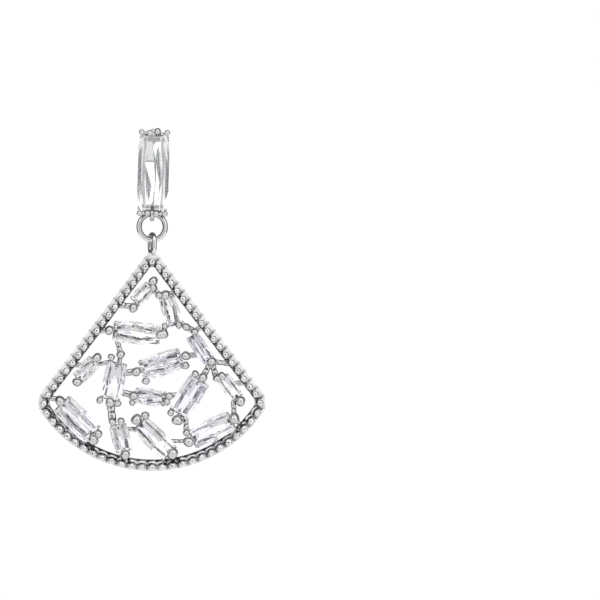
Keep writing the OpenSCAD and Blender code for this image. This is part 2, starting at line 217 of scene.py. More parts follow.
@dataclass(frozen=True)
class ClearStone:
    """Cut and polished clear stone, with faint painted tints that stand in for the colour flashes of
    dispersion. Patch and ripple are spots in a metre, of the tints and of the facets' slight unevenness,
    whose relief is in millimetres."""

    name: str
    dispersion_tints: tuple[tuple[float, Triple], ...]
    index: float = 2.0
    patch: float = 400.0
    ripple: float = 600.0
    relief: float = 0.025

    def material(self) -> bpy.types.Material:
        """The finish as a material: clear all through, with painted dispersion tints from patch to patch."""
        made, nodes = new_material(self.name)
        # painted colour flashes of dispersion, in patches
        dispersion_tint = nodes.ramp(self.dispersion_tints, nodes.noise(self.patch, 1.0))
        facets = nodes.bump(nodes.noise(self.ripple, 1.0), 1.0, self.relief)
        nodes.surface({"Base Color": dispersion_tint, "Normal": facets, "Roughness": 0.0, "IOR": self.index,
                       "Transmission Weight": 1.0})
        return made


class Finish(Enum):
    """The earring's finishes."""

    BRIGHT = Silver("silver_bright", (0.93, 0.93, 0.94), (0.80, 0.80, 0.82), 0.09, 0.06, 0.004)
    # for the pieces that lie deep under the stones: a rougher finish, and colours darkened as painted shade
    CAST_SHADED = Silver("silver_cast_shaded", (0.80, 0.80, 0.81), (0.58, 0.58, 0.60), 0.17, 0.10, 0.010)
    WIRE = Silver("silver_wire", (0.93, 0.93, 0.94), (0.82, 0.82, 0.84), 0.07, 0.05, 0.002, 9000.0)
    STONE = ClearStone("clear_stone", (
        (0.32, (0.96, 0.96, 0.99)), (0.42, (0.80, 0.80, 0.90)), (0.50, (0.97, 0.97, 0.98)),
        (0.57, (0.91, 0.93, 0.87)), (0.62, (0.99, 0.99, 0.99)), (0.74, (0.95, 0.93, 0.98))))
    LONG_STONE = ClearStone("clear_stone_long", (
        (0.30, (1.0, 1.0, 1.0)), (0.42, (0.95, 0.95, 0.99)), (0.50, (1.0, 1.0, 1.0)),
        (0.60, (0.96, 0.99, 0.97)), (0.70, (1.0, 1.0, 1.0))), 1.75, 300.0, 300.0, 0.012)

    @cached_property
    def ready(self) -> bpy.types.Material:
        """The finish's material, made once."""
        return self.value.material()


# Shapes

def polar(angle: np.ndarray | float) -> np.ndarray:
    """Unit vectors in the plane: cosine and sine of angle, in radians."""
    return np.stack([np.cos(angle), np.sin(angle)], axis=-1)


def rounded(corners: Sequence[tuple[float, float, float]], steps: int = 4) -> np.ndarray:
    """A closed outline with rounded corners.

    Args:
        corners: x, y and radius of each corner, in order.
        steps: how many parts each rounding has.

    Returns:
        Its points. A rounding is the quadratic curve from one side's point at the radius' distance from
        the corner to the other side's: (1-t)^2 a + 2 t (1-t) corner + t^2 b.
    """
    data = np.array(corners, float)
    at, radius = data[:, :2], data[:, 2:]
    back, ahead = np.roll(at, 1, axis=0) - at, np.roll(at, -1, axis=0) - at
    a = at + back / np.linalg.norm(back, axis=1, keepdims=True) * radius
    b = at + ahead / np.linalg.norm(ahead, axis=1, keepdims=True) * radius
    t = np.linspace(0, 1, steps + 1)[None, :, None]
    return ((1 - t) ** 2 * a[:, None] + 2 * t * (1 - t) * at[:, None] + t ** 2 * b[:, None]).reshape(-1, 2)


@dataclass
class Shell:
    """A mesh while it is worked on: its points in millimetres, its faces as lists of point numbers, and
    how much painted shade each point carries, from 0 to 1."""

    points: np.ndarray
    faces: list
    painted_shade: np.ndarray | float = 0.0

    @classmethod
    def grid(cls, points: np.ndarray, along: bool = False, around: bool = True) -> "Shell":
        """A surface on a grid.

        Args:
            points: (copies, along, around, 3), or without the copies.
            along: whether the last row joins the first.
            around: whether the last column joins the first.

        Returns:
            The shell, with one quad for each cell of each copy's grid.
        """
        points = points if points.ndim == 4 else points[None]
        copies, rows, columns = points.shape[:3]
        u = np.arange(rows if along else rows - 1)[:, None]
        v = np.arange(columns if around else columns - 1)[None, :]
        u2, v2 = (u + 1) % rows, (v + 1) % columns
        one = np.stack([u * columns + v, u2 * columns + v, u2 * columns + v2, u * columns + v2], -1)
        every = one.reshape(1, -1, 4) + np.arange(copies)[:, None, None] * rows * columns
        return cls(points.reshape(-1, 3), every.reshape(-1, 4).tolist())

    def darken(self, depth: np.ndarray) -> None:
        """Deepens the painted shade to a depth wherever that is more."""
        self.painted_shade = np.maximum(np.ravel(self.painted_shade), np.ravel(depth))

    def __add__(self, other: "Shell") -> "Shell":
        """Both shells as one."""
        first = len(self.points)
        painted_shade = [np.broadcast_to(np.ravel(s.painted_shade), len(s.points)) for s in (self, other)]
        return Shell(np.concatenate([self.points, other.points]),
                     self.faces + [[k + first for k in f] for f in other.faces], np.concatenate(painted_shade))


def lathe(profile: np.ndarray, centres: np.ndarray, sides: int) -> Shell:
    """Solids of revolution about +z.

    Args:
        profile: (copies, n, 2) radius and height of each point.
        centres: (copies, 2) where each axis stands.
        sides: how many sides the solids have.

    Returns:
        Each profile carried round its axis: centre + radius * (cos, sin), with the height kept.
    """
    turn = polar(np.arange(sides) / sides * TAU)
    flat = centres[:, None, None, :] + profile[..., None, :1] * turn
    height = np.broadcast_to(profile[..., None, 1:], flat.shape[:-1] + (1,))
    return Shell.grid(np.concatenate([flat, height], -1))


def tube(path: np.ndarray, across: np.ndarray, radius: float, sides: int = 20, shade: float = 0.0) -> Shell:
    """A round wire along a closed path in one plane.

    Args:
        path: (n, 3) its middle line.
        across: the unit normal of the path's plane.
        radius: half the wire's thickness.
        sides: how many sides its section has.
        shade: how much painted shade the side towards the path's middle gets.

    Returns:
        At each point the section's circle: radius * (cos * outward + sin * across). Its painted shade is
        shade times 1.3 * the cosine of the angle to the path's middle + 0.1, kept between 0 and 1.
    """
    way = np.roll(path, -1, axis=0) - np.roll(path, 1, axis=0)
    outward = np.cross(way, across)
    outward /= np.linalg.norm(outward, axis=1, keepdims=True)
    turn = polar(np.arange(sides) / sides * TAU)
    ring = turn[:, :1] * outward[:, None, :] + turn[:, 1:] * across
    shell = Shell.grid(path[:, None, :] + radius * ring, along=True)
    inward = path.mean(axis=0) - path
    inward /= np.linalg.norm(inward, axis=1, keepdims=True)
    # painted shade on the side that faces the path's middle
    shell.painted_shade = shade * np.clip(1.3 * (ring * inward[:, None]).sum(axis=-1) + 0.1, 0, 1)
    return shell


def ball_posts(centres: np.ndarray, radius: np.ndarray, head: np.ndarray | float, share: float,
               shaft: Sequence[tuple[np.ndarray, np.ndarray]], steps: int, sides: int,
               flat: np.ndarray | float = 1.0) -> Shell:
    """Round posts with ball heads.

    Args:
        centres: (copies, 2) where each post stands.
        radius: (copies,) each ball's radius.
        head: the height of the balls' middles.
        share: a post's thickness as a share of its ball's.
        shaft: the radii and heights of the post's points, from its foot up.
        steps: how many points the ball's profile has.
        sides: how many sides the posts have.
        flat: each ball's height as a share of its width.

    Returns:
        The shaft, and on it radius * (cos, flat * sin) from the ball's neck, where it is as thick as the
        post, to its top.
    """
    ball = polar(np.linspace(-math.acos(share), math.pi / 2, steps))[None] * radius[:, None, None]
    ball[:, -1, 0] = 0
    ball[..., 1] = ball[..., 1] * np.reshape(flat, (-1, 1)) + np.reshape(head, (-1, 1))
    lower = np.stack([np.stack(point, -1) for point in shaft], 1)
    return lathe(np.concatenate([lower, ball], 1), centres, sides)


def frames(size: np.ndarray, section: np.ndarray, corner: float, steps: int = 4) -> np.ndarray:
    """Rectangular frames.

    Args:
        size: (copies, 2) length and width outside.
        section: (copies, k, 2) distance inwards and height of the section's points.
        corner: the outside corner radius.
        steps: how many parts each corner has.

    Returns:
        (copies, n, k, 3) points. Each corner is an arc round a centre that lies a radius inside both
        sides, its radius less the distance inwards, and never less than a small one.
    """
    radius = np.maximum(corner - section[..., 0], LEAST_R)
    reach = size[:, None, :] / 2 - section[..., :1] - radius[..., None]
    turn = np.linspace(0, math.pi / 2, steps + 1)
    parts = []
    for k, (sx, sy) in enumerate(((1, 1), (-1, 1), (-1, -1), (1, -1))):
        arc = polar(turn + k * math.pi / 2)
        parts.append(reach[:, None] * (sx, sy) + radius[:, None, :, None] * arc[None, :, None, :])
    flat = np.concatenate(parts, axis=1)
    height = np.broadcast_to(section[:, None, :, 1:], flat.shape[:-1] + (1,))
    return np.concatenate([flat, height], -1)


def rising(value: np.ndarray, start: float, width: float) -> np.ndarray:
    """0 up to a start, and from there evenly up to 1 over a width."""
    return np.clip((value - start) / width, 0, 1)


def jitter(count: int, seed: int, columns: int = 1) -> np.ndarray:
    """(count, columns) fixed uneven numbers between -1 and 1."""
    return np.random.default_rng(seed).uniform(-1, 1, (count, columns))


def bars(start: np.ndarray, end: np.ndarray, width: np.ndarray, low: float, high: float,
         waist: float = 0.0, bead: float = 1.1) -> Shell:
    """Straight bars with round fronts, drawn in at even steps as if they were cast from a row of beads.

    Args:
        start: (copies, 2) one end of each bar's middle line.
        end: (copies, 2) the other end.
        width: (copies,) each bar's width.
        low: the height of the backs.
        high: the height of the fronts.
        waist: how far a bar is drawn in between two beads, as a share of its width.
        bead: about how long a bead is.

    Returns:
        A rounded section across each bar, carried from end to end. It is 1 - waist * (1 - |sin|)^2 of
        the full one, with the angle growing by half a turn for each bead. Painted shade darkens it at its
        foot and at its waists.
    """
    way = end - start
    length = np.linalg.norm(way, axis=1, keepdims=True)
    side = np.stack([-way[:, 1], way[:, 0]], -1) / length
    section = rounded([(-0.5, 0, 0.1), (0.5, 0, 0.1), (0.5, 1, 0.48), (-0.5, 1, 0.48)], 6)
    share = np.linspace(0, 1, 25)
    swell = np.abs(np.sin(math.pi * np.maximum(1, np.round(length / bead)) * share))
    swell = (1 - waist * (1 - swell) ** 2)[..., None]
    middle = start[:, None] + way[:, None] * share[:, None]
    out = (section[:, 0] * width[:, None, None] * swell)[..., None]
    flat = middle[:, :, None] + side[:, None, None] * out
    height = (low + section[:, 1] * (high - low) * swell)[..., None]
    body = np.concatenate([flat, height], -1)
    caps = body.mean(axis=2, keepdims=True) + 0 * body
    shell = Shell.grid(np.concatenate([caps[:, :1], body, caps[:, -1:]], axis=1))
    # painted shade: darker towards the foot and at the waists
    depth = np.clip(2.5 * (1 - swell) + 1 - 1.2 * section[:, 1], 0, 1) * np.ones((len(start), 1, 1))
    shell.painted_shade = 0.8 * np.concatenate([depth[:, :1], depth, depth[:, -1:]], axis=1)
    return shell


@dataclass(frozen=True)
class CutStone:
    """A long rectangular stone, cut by planes. Its widest edge is at height 0, and its length along x.

    The heights and insets are shares of the width. Sway and keel make the cut uneven: how much the slant
    differs from corner to corner, and how far the keel lies off the middle.
    """

    length: float
    width: float
    crown: float = 0.13
    girdle: float = 0.03
    pavilion: float = 0.37
    table: float = 0.17
    sway: float = 0.0
    keel: float = 0.0
    slant: float = 0.22
    slope: float = 0.72
    # insets of the pavilion's step and of its keel, and the share of its depth that the step takes
    step_in: float = 0.21
    keel_in: float = 0.47
    step_down: float = 0.6
    # the crown's step: shares of the table's inset and of the crown's height
    bezel_in: float = 0.4
    bezel_up: float = 0.6
    # the corners: how far in they are cut below and above, and which way the upper facet faces
    cut_in: float = 0.12
    nick_in: float = 0.06
    nick: Triple = (0.5, 0.5, 1.2)

    def planes(self) -> tuple[np.ndarray, np.ndarray]:
        """The cut's planes.

        Returns:
            Their outward normals, and how far each lies from the middle: n . p = d.
        """
        l, w = self.length / 2, self.width / 2
        rows = [((0, 0, 1), self.girdle * self.width / 2 + self.crown * self.width)]
        for s in (-1, 1):
            rows += [((s, 0, 0), l), ((0, s, 0), w)]
            rows += [((s * x, 0, z), x * (l - a) + z * b) for x, z, a, b in self._steps(0)]
            rows += [((0, s * x, z), x * (w - a) + z * b) for x, z, a, b in self._steps(s * self.keel)]
            rows += self._corner_facets(s, -1) + self._corner_facets(s, 1)
        normals = np.array([n for n, _ in rows], float)
        size = np.linalg.norm(normals, axis=1)
        return normals / size[:, None], np.array([d for _, d in rows]) / size

    def _steps(self, shift: float) -> list[tuple[float, float, float, float]]:
        """The steps of crown and pavilion: the normal's outward and upward parts, and a point's inset and
        height. The keel lies off the middle by shift, a share of the width."""
        g = self.girdle * self.width / 2
        c, t, p = self.crown * self.width, self.table * self.width, self.pavilion * self.width
        low, drop, foot = self.step_in * self.width, self.step_down * p, (self.keel_in - shift) * self.width
        return [(self.bezel_up * c, self.bezel_in * t, 0, g),
                ((1 - self.bezel_up) * c, (1 - self.bezel_in) * t, t, g + c),
                (drop, -low, 0, -g), (p - drop, low - foot, foot, -g - p)]

    def _corner_facets(self, s: int, r: int) -> list[tuple[Triple, float]]:
        """The facets that cut a corner: one below, slantwise towards the keel, and a small one above."""
        l, w, g = self.length / 2, self.width / 2, self.girdle * self.width / 2
        turn = self.slant * (1 + self.sway * s * r)
        cut = (math.sin(turn) * self.slope, math.cos(turn) * self.slope, -1.0)
        facets = []
        for n, inset, z in ((cut, self.cut_in, -g), (self.nick, self.nick_in, g + self.nick_in * w)):
            n = (s * n[0], r * n[1], n[2])
            at = (s * (l - 2 * inset * w), r * (w - 2 * inset * w), z)
            facets.append((n, sum(a * b for a, b in zip(n, at))))
        return facets

    def shell(self) -> Shell:
        """The solid behind all the planes.

        Returns:
            Its corners are the points where three planes meet, if they lie behind all the others, and
            each facet is the ring of the corners on its plane, in order of their angle round its middle.
        """
        normals, offsets = self.planes()
        triples = np.array(list(combinations(range(len(normals)), 3)))
        sets = normals[triples]
        solvable = np.abs(np.linalg.det(sets)) > 1e-5
        meets = np.linalg.solve(sets[solvable], offsets[triples[solvable]][..., None])[..., 0]
        behind = (meets @ normals.T <= offsets + 1e-5).all(axis=1)
        corners = np.unique(np.round(meets[behind], 4), axis=0)
        faces = []
        for normal, offset in zip(normals, offsets):
            on = np.flatnonzero(np.abs(corners @ normal - offset) < 3e-4)
            if len(on) < 3:
                continue
            arm = corners[on] - corners[on].mean(axis=0)
            first = np.cross(normal, (0.3, 0.5, 0.8))
            angle = np.arctan2(arm @ np.cross(normal, first), arm @ first)
            faces.append(on[np.argsort(angle)].tolist())
        return Shell(corners, faces)

    def top(self) -> float:
        """The height of the table."""
        return (self.girdle / 2 + self.crown) * self.width

    def under(self, inset: np.ndarray) -> np.ndarray:
        """The height of the pavilion at a distance inside the stone's edge."""
        places = np.array([0, self.step_in, self.keel_in]) * self.width
        heights = -np.array([0, self.step_down, 1]) * self.pavilion * self.width
        heights -= self.girdle * self.width / 2
        return np.interp(inset, places, heights)

    def over(self, inset: np.ndarray) -> np.ndarray:
        """The height of the crown at a distance inside the stone's edge."""
        places = np.array([0, self.bezel_in, 1]) * self.table * self.width
        heights = np.array([0, self.bezel_up, 1]) * self.crown * self.width + self.girdle * self.width / 2
        return np.interp(inset, places, heights)


# The fan's plan

@dataclass(frozen=True)
class FanPlan:
    """The fan's outline and field. Its straight sides would meet at the origin."""

    height: float = 24.84
    half: float = math.radians(37.2)
    edge_r: float = 14.9
    corner_r: float = 2.1
    apex_r: float = 1.0
    field_r: float = 0.35
    rim_w: float = 1.2
    lip_w: float = 0.32
    row_drop: float = 0.25
    lip_least: float = 0.12
    ledge_t: float = 1.15
    grain_d: float = 0.66
    grain_pitch: float = 1.11
    grain_bite: float = 0.05
    grain_lift: float = 0.06

    @cached_property
    def arc_y(self) -> float:
        """Depth of the lower edge's centre."""
        return self.height - self.edge_r

    @cached_property
    def corner(self) -> tuple[float, np.ndarray, float]:
        """Length of a straight side, centre of the lower right corner, and the angle where it ends."""
        down = self.arc_y * math.cos(self.half)
        t = down + math.sqrt(down ** 2 - self.corner_r ** 2 - self.arc_y ** 2
                             + 2 * self.arc_y * self.corner_r * math.sin(self.half)
                             + (self.edge_r - self.corner_r) ** 2)
        x = t * math.sin(self.half) - self.corner_r * math.cos(self.half)
        y = -t * math.cos(self.half) - self.corner_r * math.sin(self.half)
        return t, np.array([x, y]), math.atan2(y + self.arc_y, x)

    @cached_property
    def row_in(self) -> float:
        """How far inside the outline the grains' middles lie."""
        return self.lip_w + self.grain_d / 2 - self.grain_bite

    @cached_property
    def stretches(self) -> np.ndarray:
        """Where each stretch of the grains' row starts and ends, from its top: arc, side, corner, edge."""
        side, _, end = self.corner
        return np.cumsum([0, (self.apex_r - self.row_in) * (math.pi / 2 - self.half),
                          side - self.apex_r / math.tan(self.half),
                          (self.corner_r - self.row_in) * (self.half - end),
                          (self.edge_r - self.row_in) * (end + math.pi / 2)])

    @cached_property
    def grains(self) -> int:
        """How many grains lie between the row's top and its lowest point."""
        return round(self.stretches[-1] / self.grain_pitch)

    def _parts(self, share: np.ndarray) -> list[np.ndarray]:
        """How far along each stretch a share of the row is."""
        way = np.abs(share) * self.stretches[-1]
        return [np.clip((way - a) / (b - a), 0, 1) for a, b in zip(self.stretches[:-1], self.stretches[1:])]

    def facing(self, share: np.ndarray) -> np.ndarray:
        """The sine of the angle by which the outline faces up, at a share of the row."""
        part, end = self._parts(share), self.corner[2]
        return np.sin(math.pi / 2 - part[0] * (math.pi / 2 - self.half) + part[2] * (end - self.half)
                      - part[3] * (end + math.pi / 2))

    def lowered(self, share: np.ndarray, inset: float) -> np.ndarray:
        """An inset moved down with the row: inset + drop * the facing, and never less than the least."""
        return np.maximum(inset + self.row_drop * self.facing(share), self.lip_least)

    def outline(self, share: np.ndarray, inset: np.ndarray) -> np.ndarray:
        """Points of the outline moved inwards.

        Args:
            share: the place along the row of grains, 0 at its top and 1 or -1 at its lowest point.
            inset: how far inwards; it has the same shape, or one that broadcasts with it.

        Returns:
            (..., 2) points: an arc at the top, a straight line, an arc at the corner, and the long arc
            of the lower edge, each at the same part of its stretch whatever the inset is.
        """
        share, inset = np.broadcast_arrays(np.asarray(share, float), np.asarray(inset, float))
        _, centre, end = self.corner
        steps = self.stretches
        way = np.abs(share) * steps[-1]
        part = self._parts(share)
        r0 = np.maximum(self.apex_r - inset, self.field_r)
        top = np.stack([0 * inset, -(inset + r0) / math.sin(self.half)], -1)
        arc = top + r0[..., None] * polar(math.pi / 2 - part[0] * (math.pi / 2 - self.half))
        r1 = (self.corner_r - inset)[..., None]
        first, last = top + r0[..., None] * polar(self.half), centre + r1 * polar(self.half)
        line = first + (last - first) * part[1][..., None]
        turn = centre + r1 * polar(self.half + part[2] * (end - self.half))
        edge = (0, -self.arc_y) + (self.edge_r - inset)[..., None] * polar(
            end - part[3] * (end + math.pi / 2))
        way = way[..., None]
        flat = np.where(way < steps[1], arc, np.where(way < steps[2], line,
                                                      np.where(way < steps[3], turn, edge)))
        return flat * np.stack([np.where(share < 0, -1.0, 1.0), np.ones_like(share)], -1)

    @cached_property
    def field_top(self) -> float:
        """Where the rim's straight inner sides would meet."""
        return -self.rim_w / math.sin(self.half)

    @cached_property
    def field_w(self) -> float:
        """Half the width inside the rim."""
        return self.corner[1][0] + self.corner_r - self.rim_w

    def field_reach(self, angle: float) -> float:
        """The distance from the field's top to its lower edge, at an angle from straight down."""
        rise, r = self.arc_y + self.field_top, self.edge_r - self.rim_w
        return rise * math.cos(angle) + math.sqrt(r * r - (rise * math.sin(angle)) ** 2)


@dataclass(frozen=True)
class Seat:
    """One fan stone's place: shares down and across the field, shares of its half width, and degrees."""

    down: float
    across: float
    length: float
    width: float
    turn: float


@dataclass(frozen=True)
class Placed:
    """Where a sub-assembly's own plane stands in the shared frame, in millimetres, and its lean."""

    origin: tuple[float, float, float]
    lean: float = 0.0

    def world(self, points: np.ndarray) -> np.ndarray:
        """Points in metres: (x, y, z) stands upright as (x, -z, y), is leant about Y and is moved."""
        x, y, z = np.moveaxis(points, -1, 0)
        c, s = math.cos(self.lean), math.sin(self.lean)
        return (np.stack([x * c + y * s, -z, y * c - x * s], -1) + self.origin) * MM


@dataclass(frozen=True)
class Part:
    """A finished piece's name, finish and body, and the CAD nodes that it stands for."""

    name: str
    finish: Finish
    body: str
    replaces: tuple[str, ...] = ()
    crease: float = 40.0
    flat: bool = False

    def make(self, shell: Shell, placed: Placed) -> bpy.types.Object:
        """Makes the piece.

        Args:
            shell: its shape, in its sub-assembly's plane.
            placed: where that plane stands.

        Returns:
            The object at the origin, with its place in its mesh, riding on its body.
        """
        mesh = bpy.data.meshes.new(self.name)
        mesh.from_pydata(placed.world(shell.points).tolist(), [], shell.faces)
        # each point's painted shade goes onto the mesh as a float attribute
        painted_shade = np.broadcast_to(np.ravel(shell.painted_shade), len(mesh.vertices)).astype(np.float32)
        mesh.attributes.new("painted_shade", "FLOAT", "POINT").data.foreach_set("value", painted_shade)
        work = bmesh.new()
        work.from_mesh(mesh)
        bmesh.ops.remove_doubles(work, verts=work.verts, dist=MERGE * MM)
        bmesh.ops.dissolve_degenerate(work, edges=work.edges, dist=MERGE * MM / 2)
        bmesh.ops.recalc_face_normals(work, faces=work.faces)
        work.to_mesh(mesh)
        work.free()
        mesh.polygons.foreach_set("use_smooth", np.full(len(mesh.polygons), not self.flat))
        if not self.flat:
            mesh.set_sharp_from_angle(angle=math.radians(self.crease))
        mesh.materials.append(self.finish.ready)
        made = bpy.data.objects.new(self.name, mesh)
        bpy.context.scene.collection.objects.link(made)
        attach(made, self.body)
        if self.replaces:
            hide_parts(*self.replaces)
        LOG.info("%s: %d faces, on %s", self.name, len(mesh.polygons), self.body)
        return made


# The sub-assemblies

@dataclass
class Links:
    """The stud's loop, the jump ring and the fan's bail: round wire on round wire."""

    lean: float = math.radians(1.6)
    stud_end: float = -6.55
    loop_lift: float = 0.05
    loop_wire: float = 0.5
    loop_r: float = 0.42
    ring_wire: float = 0.6
    ring_d: float = 3.5
    ring_y: float = 0.9
    bail_wire: float = 0.5
    bail_r: float = 0.75
    bail_straight: float = 0.66
    bail_turn: float = math.radians(20)
    bail_sink: float = 0.1
    link_gap: float = 0.08

    @cached_property
    def loop_y(self) -> float:
        """Height of the loop's middle on the stud."""
        return self.stud_end + self.loop_lift

    @cached_property
    def ring_r(self) -> float:
        """Radius of the jump ring's middle line."""
        return (self.ring_d - self.ring_wire) / 2

    @cached_property
    def ring_mid(self) -> tuple[float, float]:
        """X and Z of the jump ring's middle."""
        low = self.loop_y * math.cos(self.lean) - self.loop_r + self.ring_wire / 2 + self.link_gap
        return math.sin(self.lean) * self.loop_y, low - self.ring_r

    @cached_property
    def bail_span(self) -> tuple[float, float]:
        """Z of the middle of the bail's wire at its top and at its bottom."""
        top = self.ring_mid[1] - self.ring_r + (self.ring_wire + self.bail_wire) / 2 + self.link_gap
        return top, top - self.bail_straight - 2 * self.bail_r

    def make_loop(self, stud: Placed) -> None:
        """The wire loop below the stud, a circle in the plane across the stud, with painted shade on its
        inside and at its narrow sides.
        """
        turn = np.linspace(0, TAU, 64, endpoint=False)
        r = self.loop_r + self.loop_wire / 2
        path = np.stack([0 * turn, self.loop_y + r * np.sin(turn), self.ring_y + r * np.cos(turn)], -1)
        shell = tube(path, np.array([1.0, 0, 0]), self.loop_wire / 2, sides=28, shade=0.6)
        # painted shade: a little everywhere, and more towards the narrow sides
        shell.darken(0.15 + 0.6 * np.clip(2.4 * np.abs(shell.points[:, 0]) / self.loop_wire - 0.2, 0, 1))
        Part("stud_loop", Finish.WIRE, "stud").make(shell, stud)

    def make_ring(self) -> None:
        """The jump ring, a circle in the fan's plane."""
        turn = np.linspace(0, TAU, 128, endpoint=False)
        path = np.concatenate([self.ring_r * polar(turn), np.zeros((128, 1))], 1)
        # the ring's inner side gets painted shade
        Part("jump_ring_wire", Finish.WIRE, "ring", ("jump_ring",)).make(
            tube(path, np.array([0, 0, 1.0]), self.ring_wire / 2, sides=32, shade=0.75),
            Placed((self.ring_mid[0], -self.ring_y, self.ring_mid[1])))

    def make_bail(self) -> None:
        """The bail: two half circles and two straight strands, turned about the vertical from the plane
        across the fan. It gets painted shade on its inside, on the strand at the back, and where its crown
        lies in the jump ring."""
        half = np.linspace(0, math.pi, 33)
        ends = [np.stack([self.bail_r * np.cos(half + k * math.pi),
                          self.bail_r * np.sin(half + k * math.pi) + (0.5 - k) * self.bail_straight], -1)
                for k in (0, 1)]
        flat = np.concatenate(ends)
        s, c = math.sin(self.bail_turn), math.cos(self.bail_turn)
        path = np.stack([flat[:, 0] * s, flat[:, 1], flat[:, 0] * c], -1)
        shell = tube(path, np.array([c, 0, -s]), self.bail_wire / 2, sides=28, shade=0.5)
        # painted shade on the strand at the back, and on the crown where it lies in the ring
        shell.darken(0.35 * np.clip(0.3 - shell.points[:, 2] / self.bail_r, 0, 1))
        shell.darken(0.75 * rising(shell.points[:, 1], (self.bail_straight + self.bail_r) / 2, 0.2))
        Part("fan_bail", Finish.WIRE, "drop").make(
            shell, Placed((self.ring_mid[0], -self.ring_y, sum(self.bail_span) / 2)))


@dataclass
class Fan:
    """The drop: its rim with the row of grains, the seats with their prongs and bars, and the stones."""

    links: Links
    plan: FanPlan = field(default_factory=FanPlan)
    weight_h: float = 0.77
    prong_d: float = 1.06
    head_sink: float = 0.05
    gallery_w: float = 0.45
    gallery_inset: float = 0.12
    gallery_back: float = 0.15
    gallery_front: float = 1.0
    girdle_h: float = 1.35
    stone_gap: float = 0.03
    foot_share: float = 0.56
    post_share: float = 0.74
    bar_share: float = 0.75
    bar_w: float = 1.0
    # how much of a seat's wall its bevel takes
    bevel: float = 0.3
    # the rim's relief: its steps from grain to grain, its height at the row, its slopes outwards, where
    # its lobes end as a share of the row's inset, and how it falls away from each grain
    rim_steps: int = 20
    crest: float = 1.36
    lobe_slope: tuple[float, float] = (0.22, 0.2)
    lobe_end: float = 0.6
    squash: float = 1.25
    cap_r: float = 0.75
    step_ends: tuple[float, ...] = (0.44, 0.60, 0.86, 1.4)
    step_slopes: tuple[float, ...] = (1.3, 0.35, 1.1)
    # its painted shade, from 0 to 1: on the band, between the lobes, at distances from a grain, between two
    # grains, and at the inner edge, with how much is added where that faces up; and how far in the band's
    # and the edge's painted shades change
    band_shade: float = 0.36
    lobe_shade: float = 0.3
    step_shade: tuple[tuple[float, ...], ...] = (
        (0.38, 0.46, 0.58, 0.66, 0.84, 0.95), (0, 0.95, 0.95, 0.35, 0.35, 0.8))
    gap_shade: float = 0.5
    edge_shade: tuple[float, float] = (0.5, 0.8)
    shade_w: float = 0.26
    # the grains' domes: their height, their depth in the rim, the radius of their hollows, how far these
    # lie off the middle, and the painted shade up the profile
    dome_h: float = 0.24
    grain_root: float = 0.3
    hollow_r: float = 0.095
    hollow_off: float = 0.07
    grain_shade: tuple[float, ...] = (0.9, 0.9, 0.8, 0.4, *(0.0,) * 12, 1.0, 1.0)
    waist: float = 0.16
    cut_seed: int = 5
    seats: tuple[Seat, ...] = (
        Seat(0.163, -0.498, 0.224, 0.146, 45), Seat(0.265, 0.586, 0.298, 0.171, -74),
        Seat(0.363, -0.348, 0.459, 0.215, -5.5), Seat(0.535, 0.807, 0.303, 0.142, -55),
        Seat(0.513, 0.143, 0.420, 0.225, 17), Seat(0.694, -0.861, 0.249, 0.156, 49),
        Seat(0.646, -0.489, 0.376, 0.210, 79), Seat(0.678, -0.024, 0.303, 0.166, -8),
        Seat(0.717, 0.418, 0.405, 0.234, 57), Seat(0.817, 0.871, 0.259, 0.146, -54),
        Seat(0.933, -0.696, 0.444, 0.239, -45), Seat(0.910, -0.275, 0.278, 0.181, -76),
        Seat(0.890, 0.023, 0.429, 0.210, -44), Seat(0.931, 0.535, 0.439, 0.220, 26))
    # each prong: its stone's number, shares of the stone's half length and half width, and its size
    prongs: tuple[tuple[int, float, float, float], ...] = (
        (1, 1.48, 0.2, 0.95), (1, 1.08, -0.45, 0.8), (1, -1.4, -0.45, 1),
        (2, -1.1, -0.1, 1), (2, -1.2, -0.8, 0.75), (2, 0.86, -1.12, 0.7), (2, 1.05, 0.45, 0.75),
        (2, 1.3, 1.2, 0.85), (3, -1.16, 0, 1), (3, 1.02, 0.05, 1), (3, 1.16, 0.15, 1),
        (4, -1.1, 0.65, 0.75), (4, 1.12, 0.2, 1),
        (5, 1.2, 0.08, 1), (5, 1.06, -0.72, 0.8), (5, -1.22, 0.02, 1), (5, -0.92, -1.0, 0.8),
        (6, 1.25, 0, 1), (6, -1.2, -0.15, 1),
        (7, 1.42, -0.15, 0.9), (7, 1.2, 0.65, 0.75), (7, -1.12, -0.05, 1.1), (7, -1.1, 0.95, 0.75),
        (7, -1.1, -0.75, 0.75),
        (8, -1.06, -0.1, 1), (8, -1.1, -0.95, 0.65), (8, 1.12, -0.3, 0.75), (8, 1.22, 0.45, 0.8),
        (9, 1.14, -0.1, 1), (9, 1.1, 0.6, 0.75), (9, -1.25, -0.25, 1.15), (9, -1.12, 0.55, 0.75),
        (10, -1.05, 0, 0.9), (10, -1.15, -0.75, 0.75), (10, 1.3, 0.05, 1.05),
        (11, -1.1, 0.1, 1.1), (11, 1.14, -0.25, 1.1), (11, 1.12, 0.4, 0.85),
        (12, -1.25, -0.45, 0.8), (12, -1.14, 0.45, 0.8), (12, 1.2, 0.05, 1),
        (13, -1.2, 0.1, 1.15), (13, -1.04, 0.95, 0.85), (13, 1.06, 0.15, 1.15),
        (14, 1.12, 0.05, 1.15), (14, -1.16, -0.05, 1.15), (14, -1.08, 0.75, 0.75))
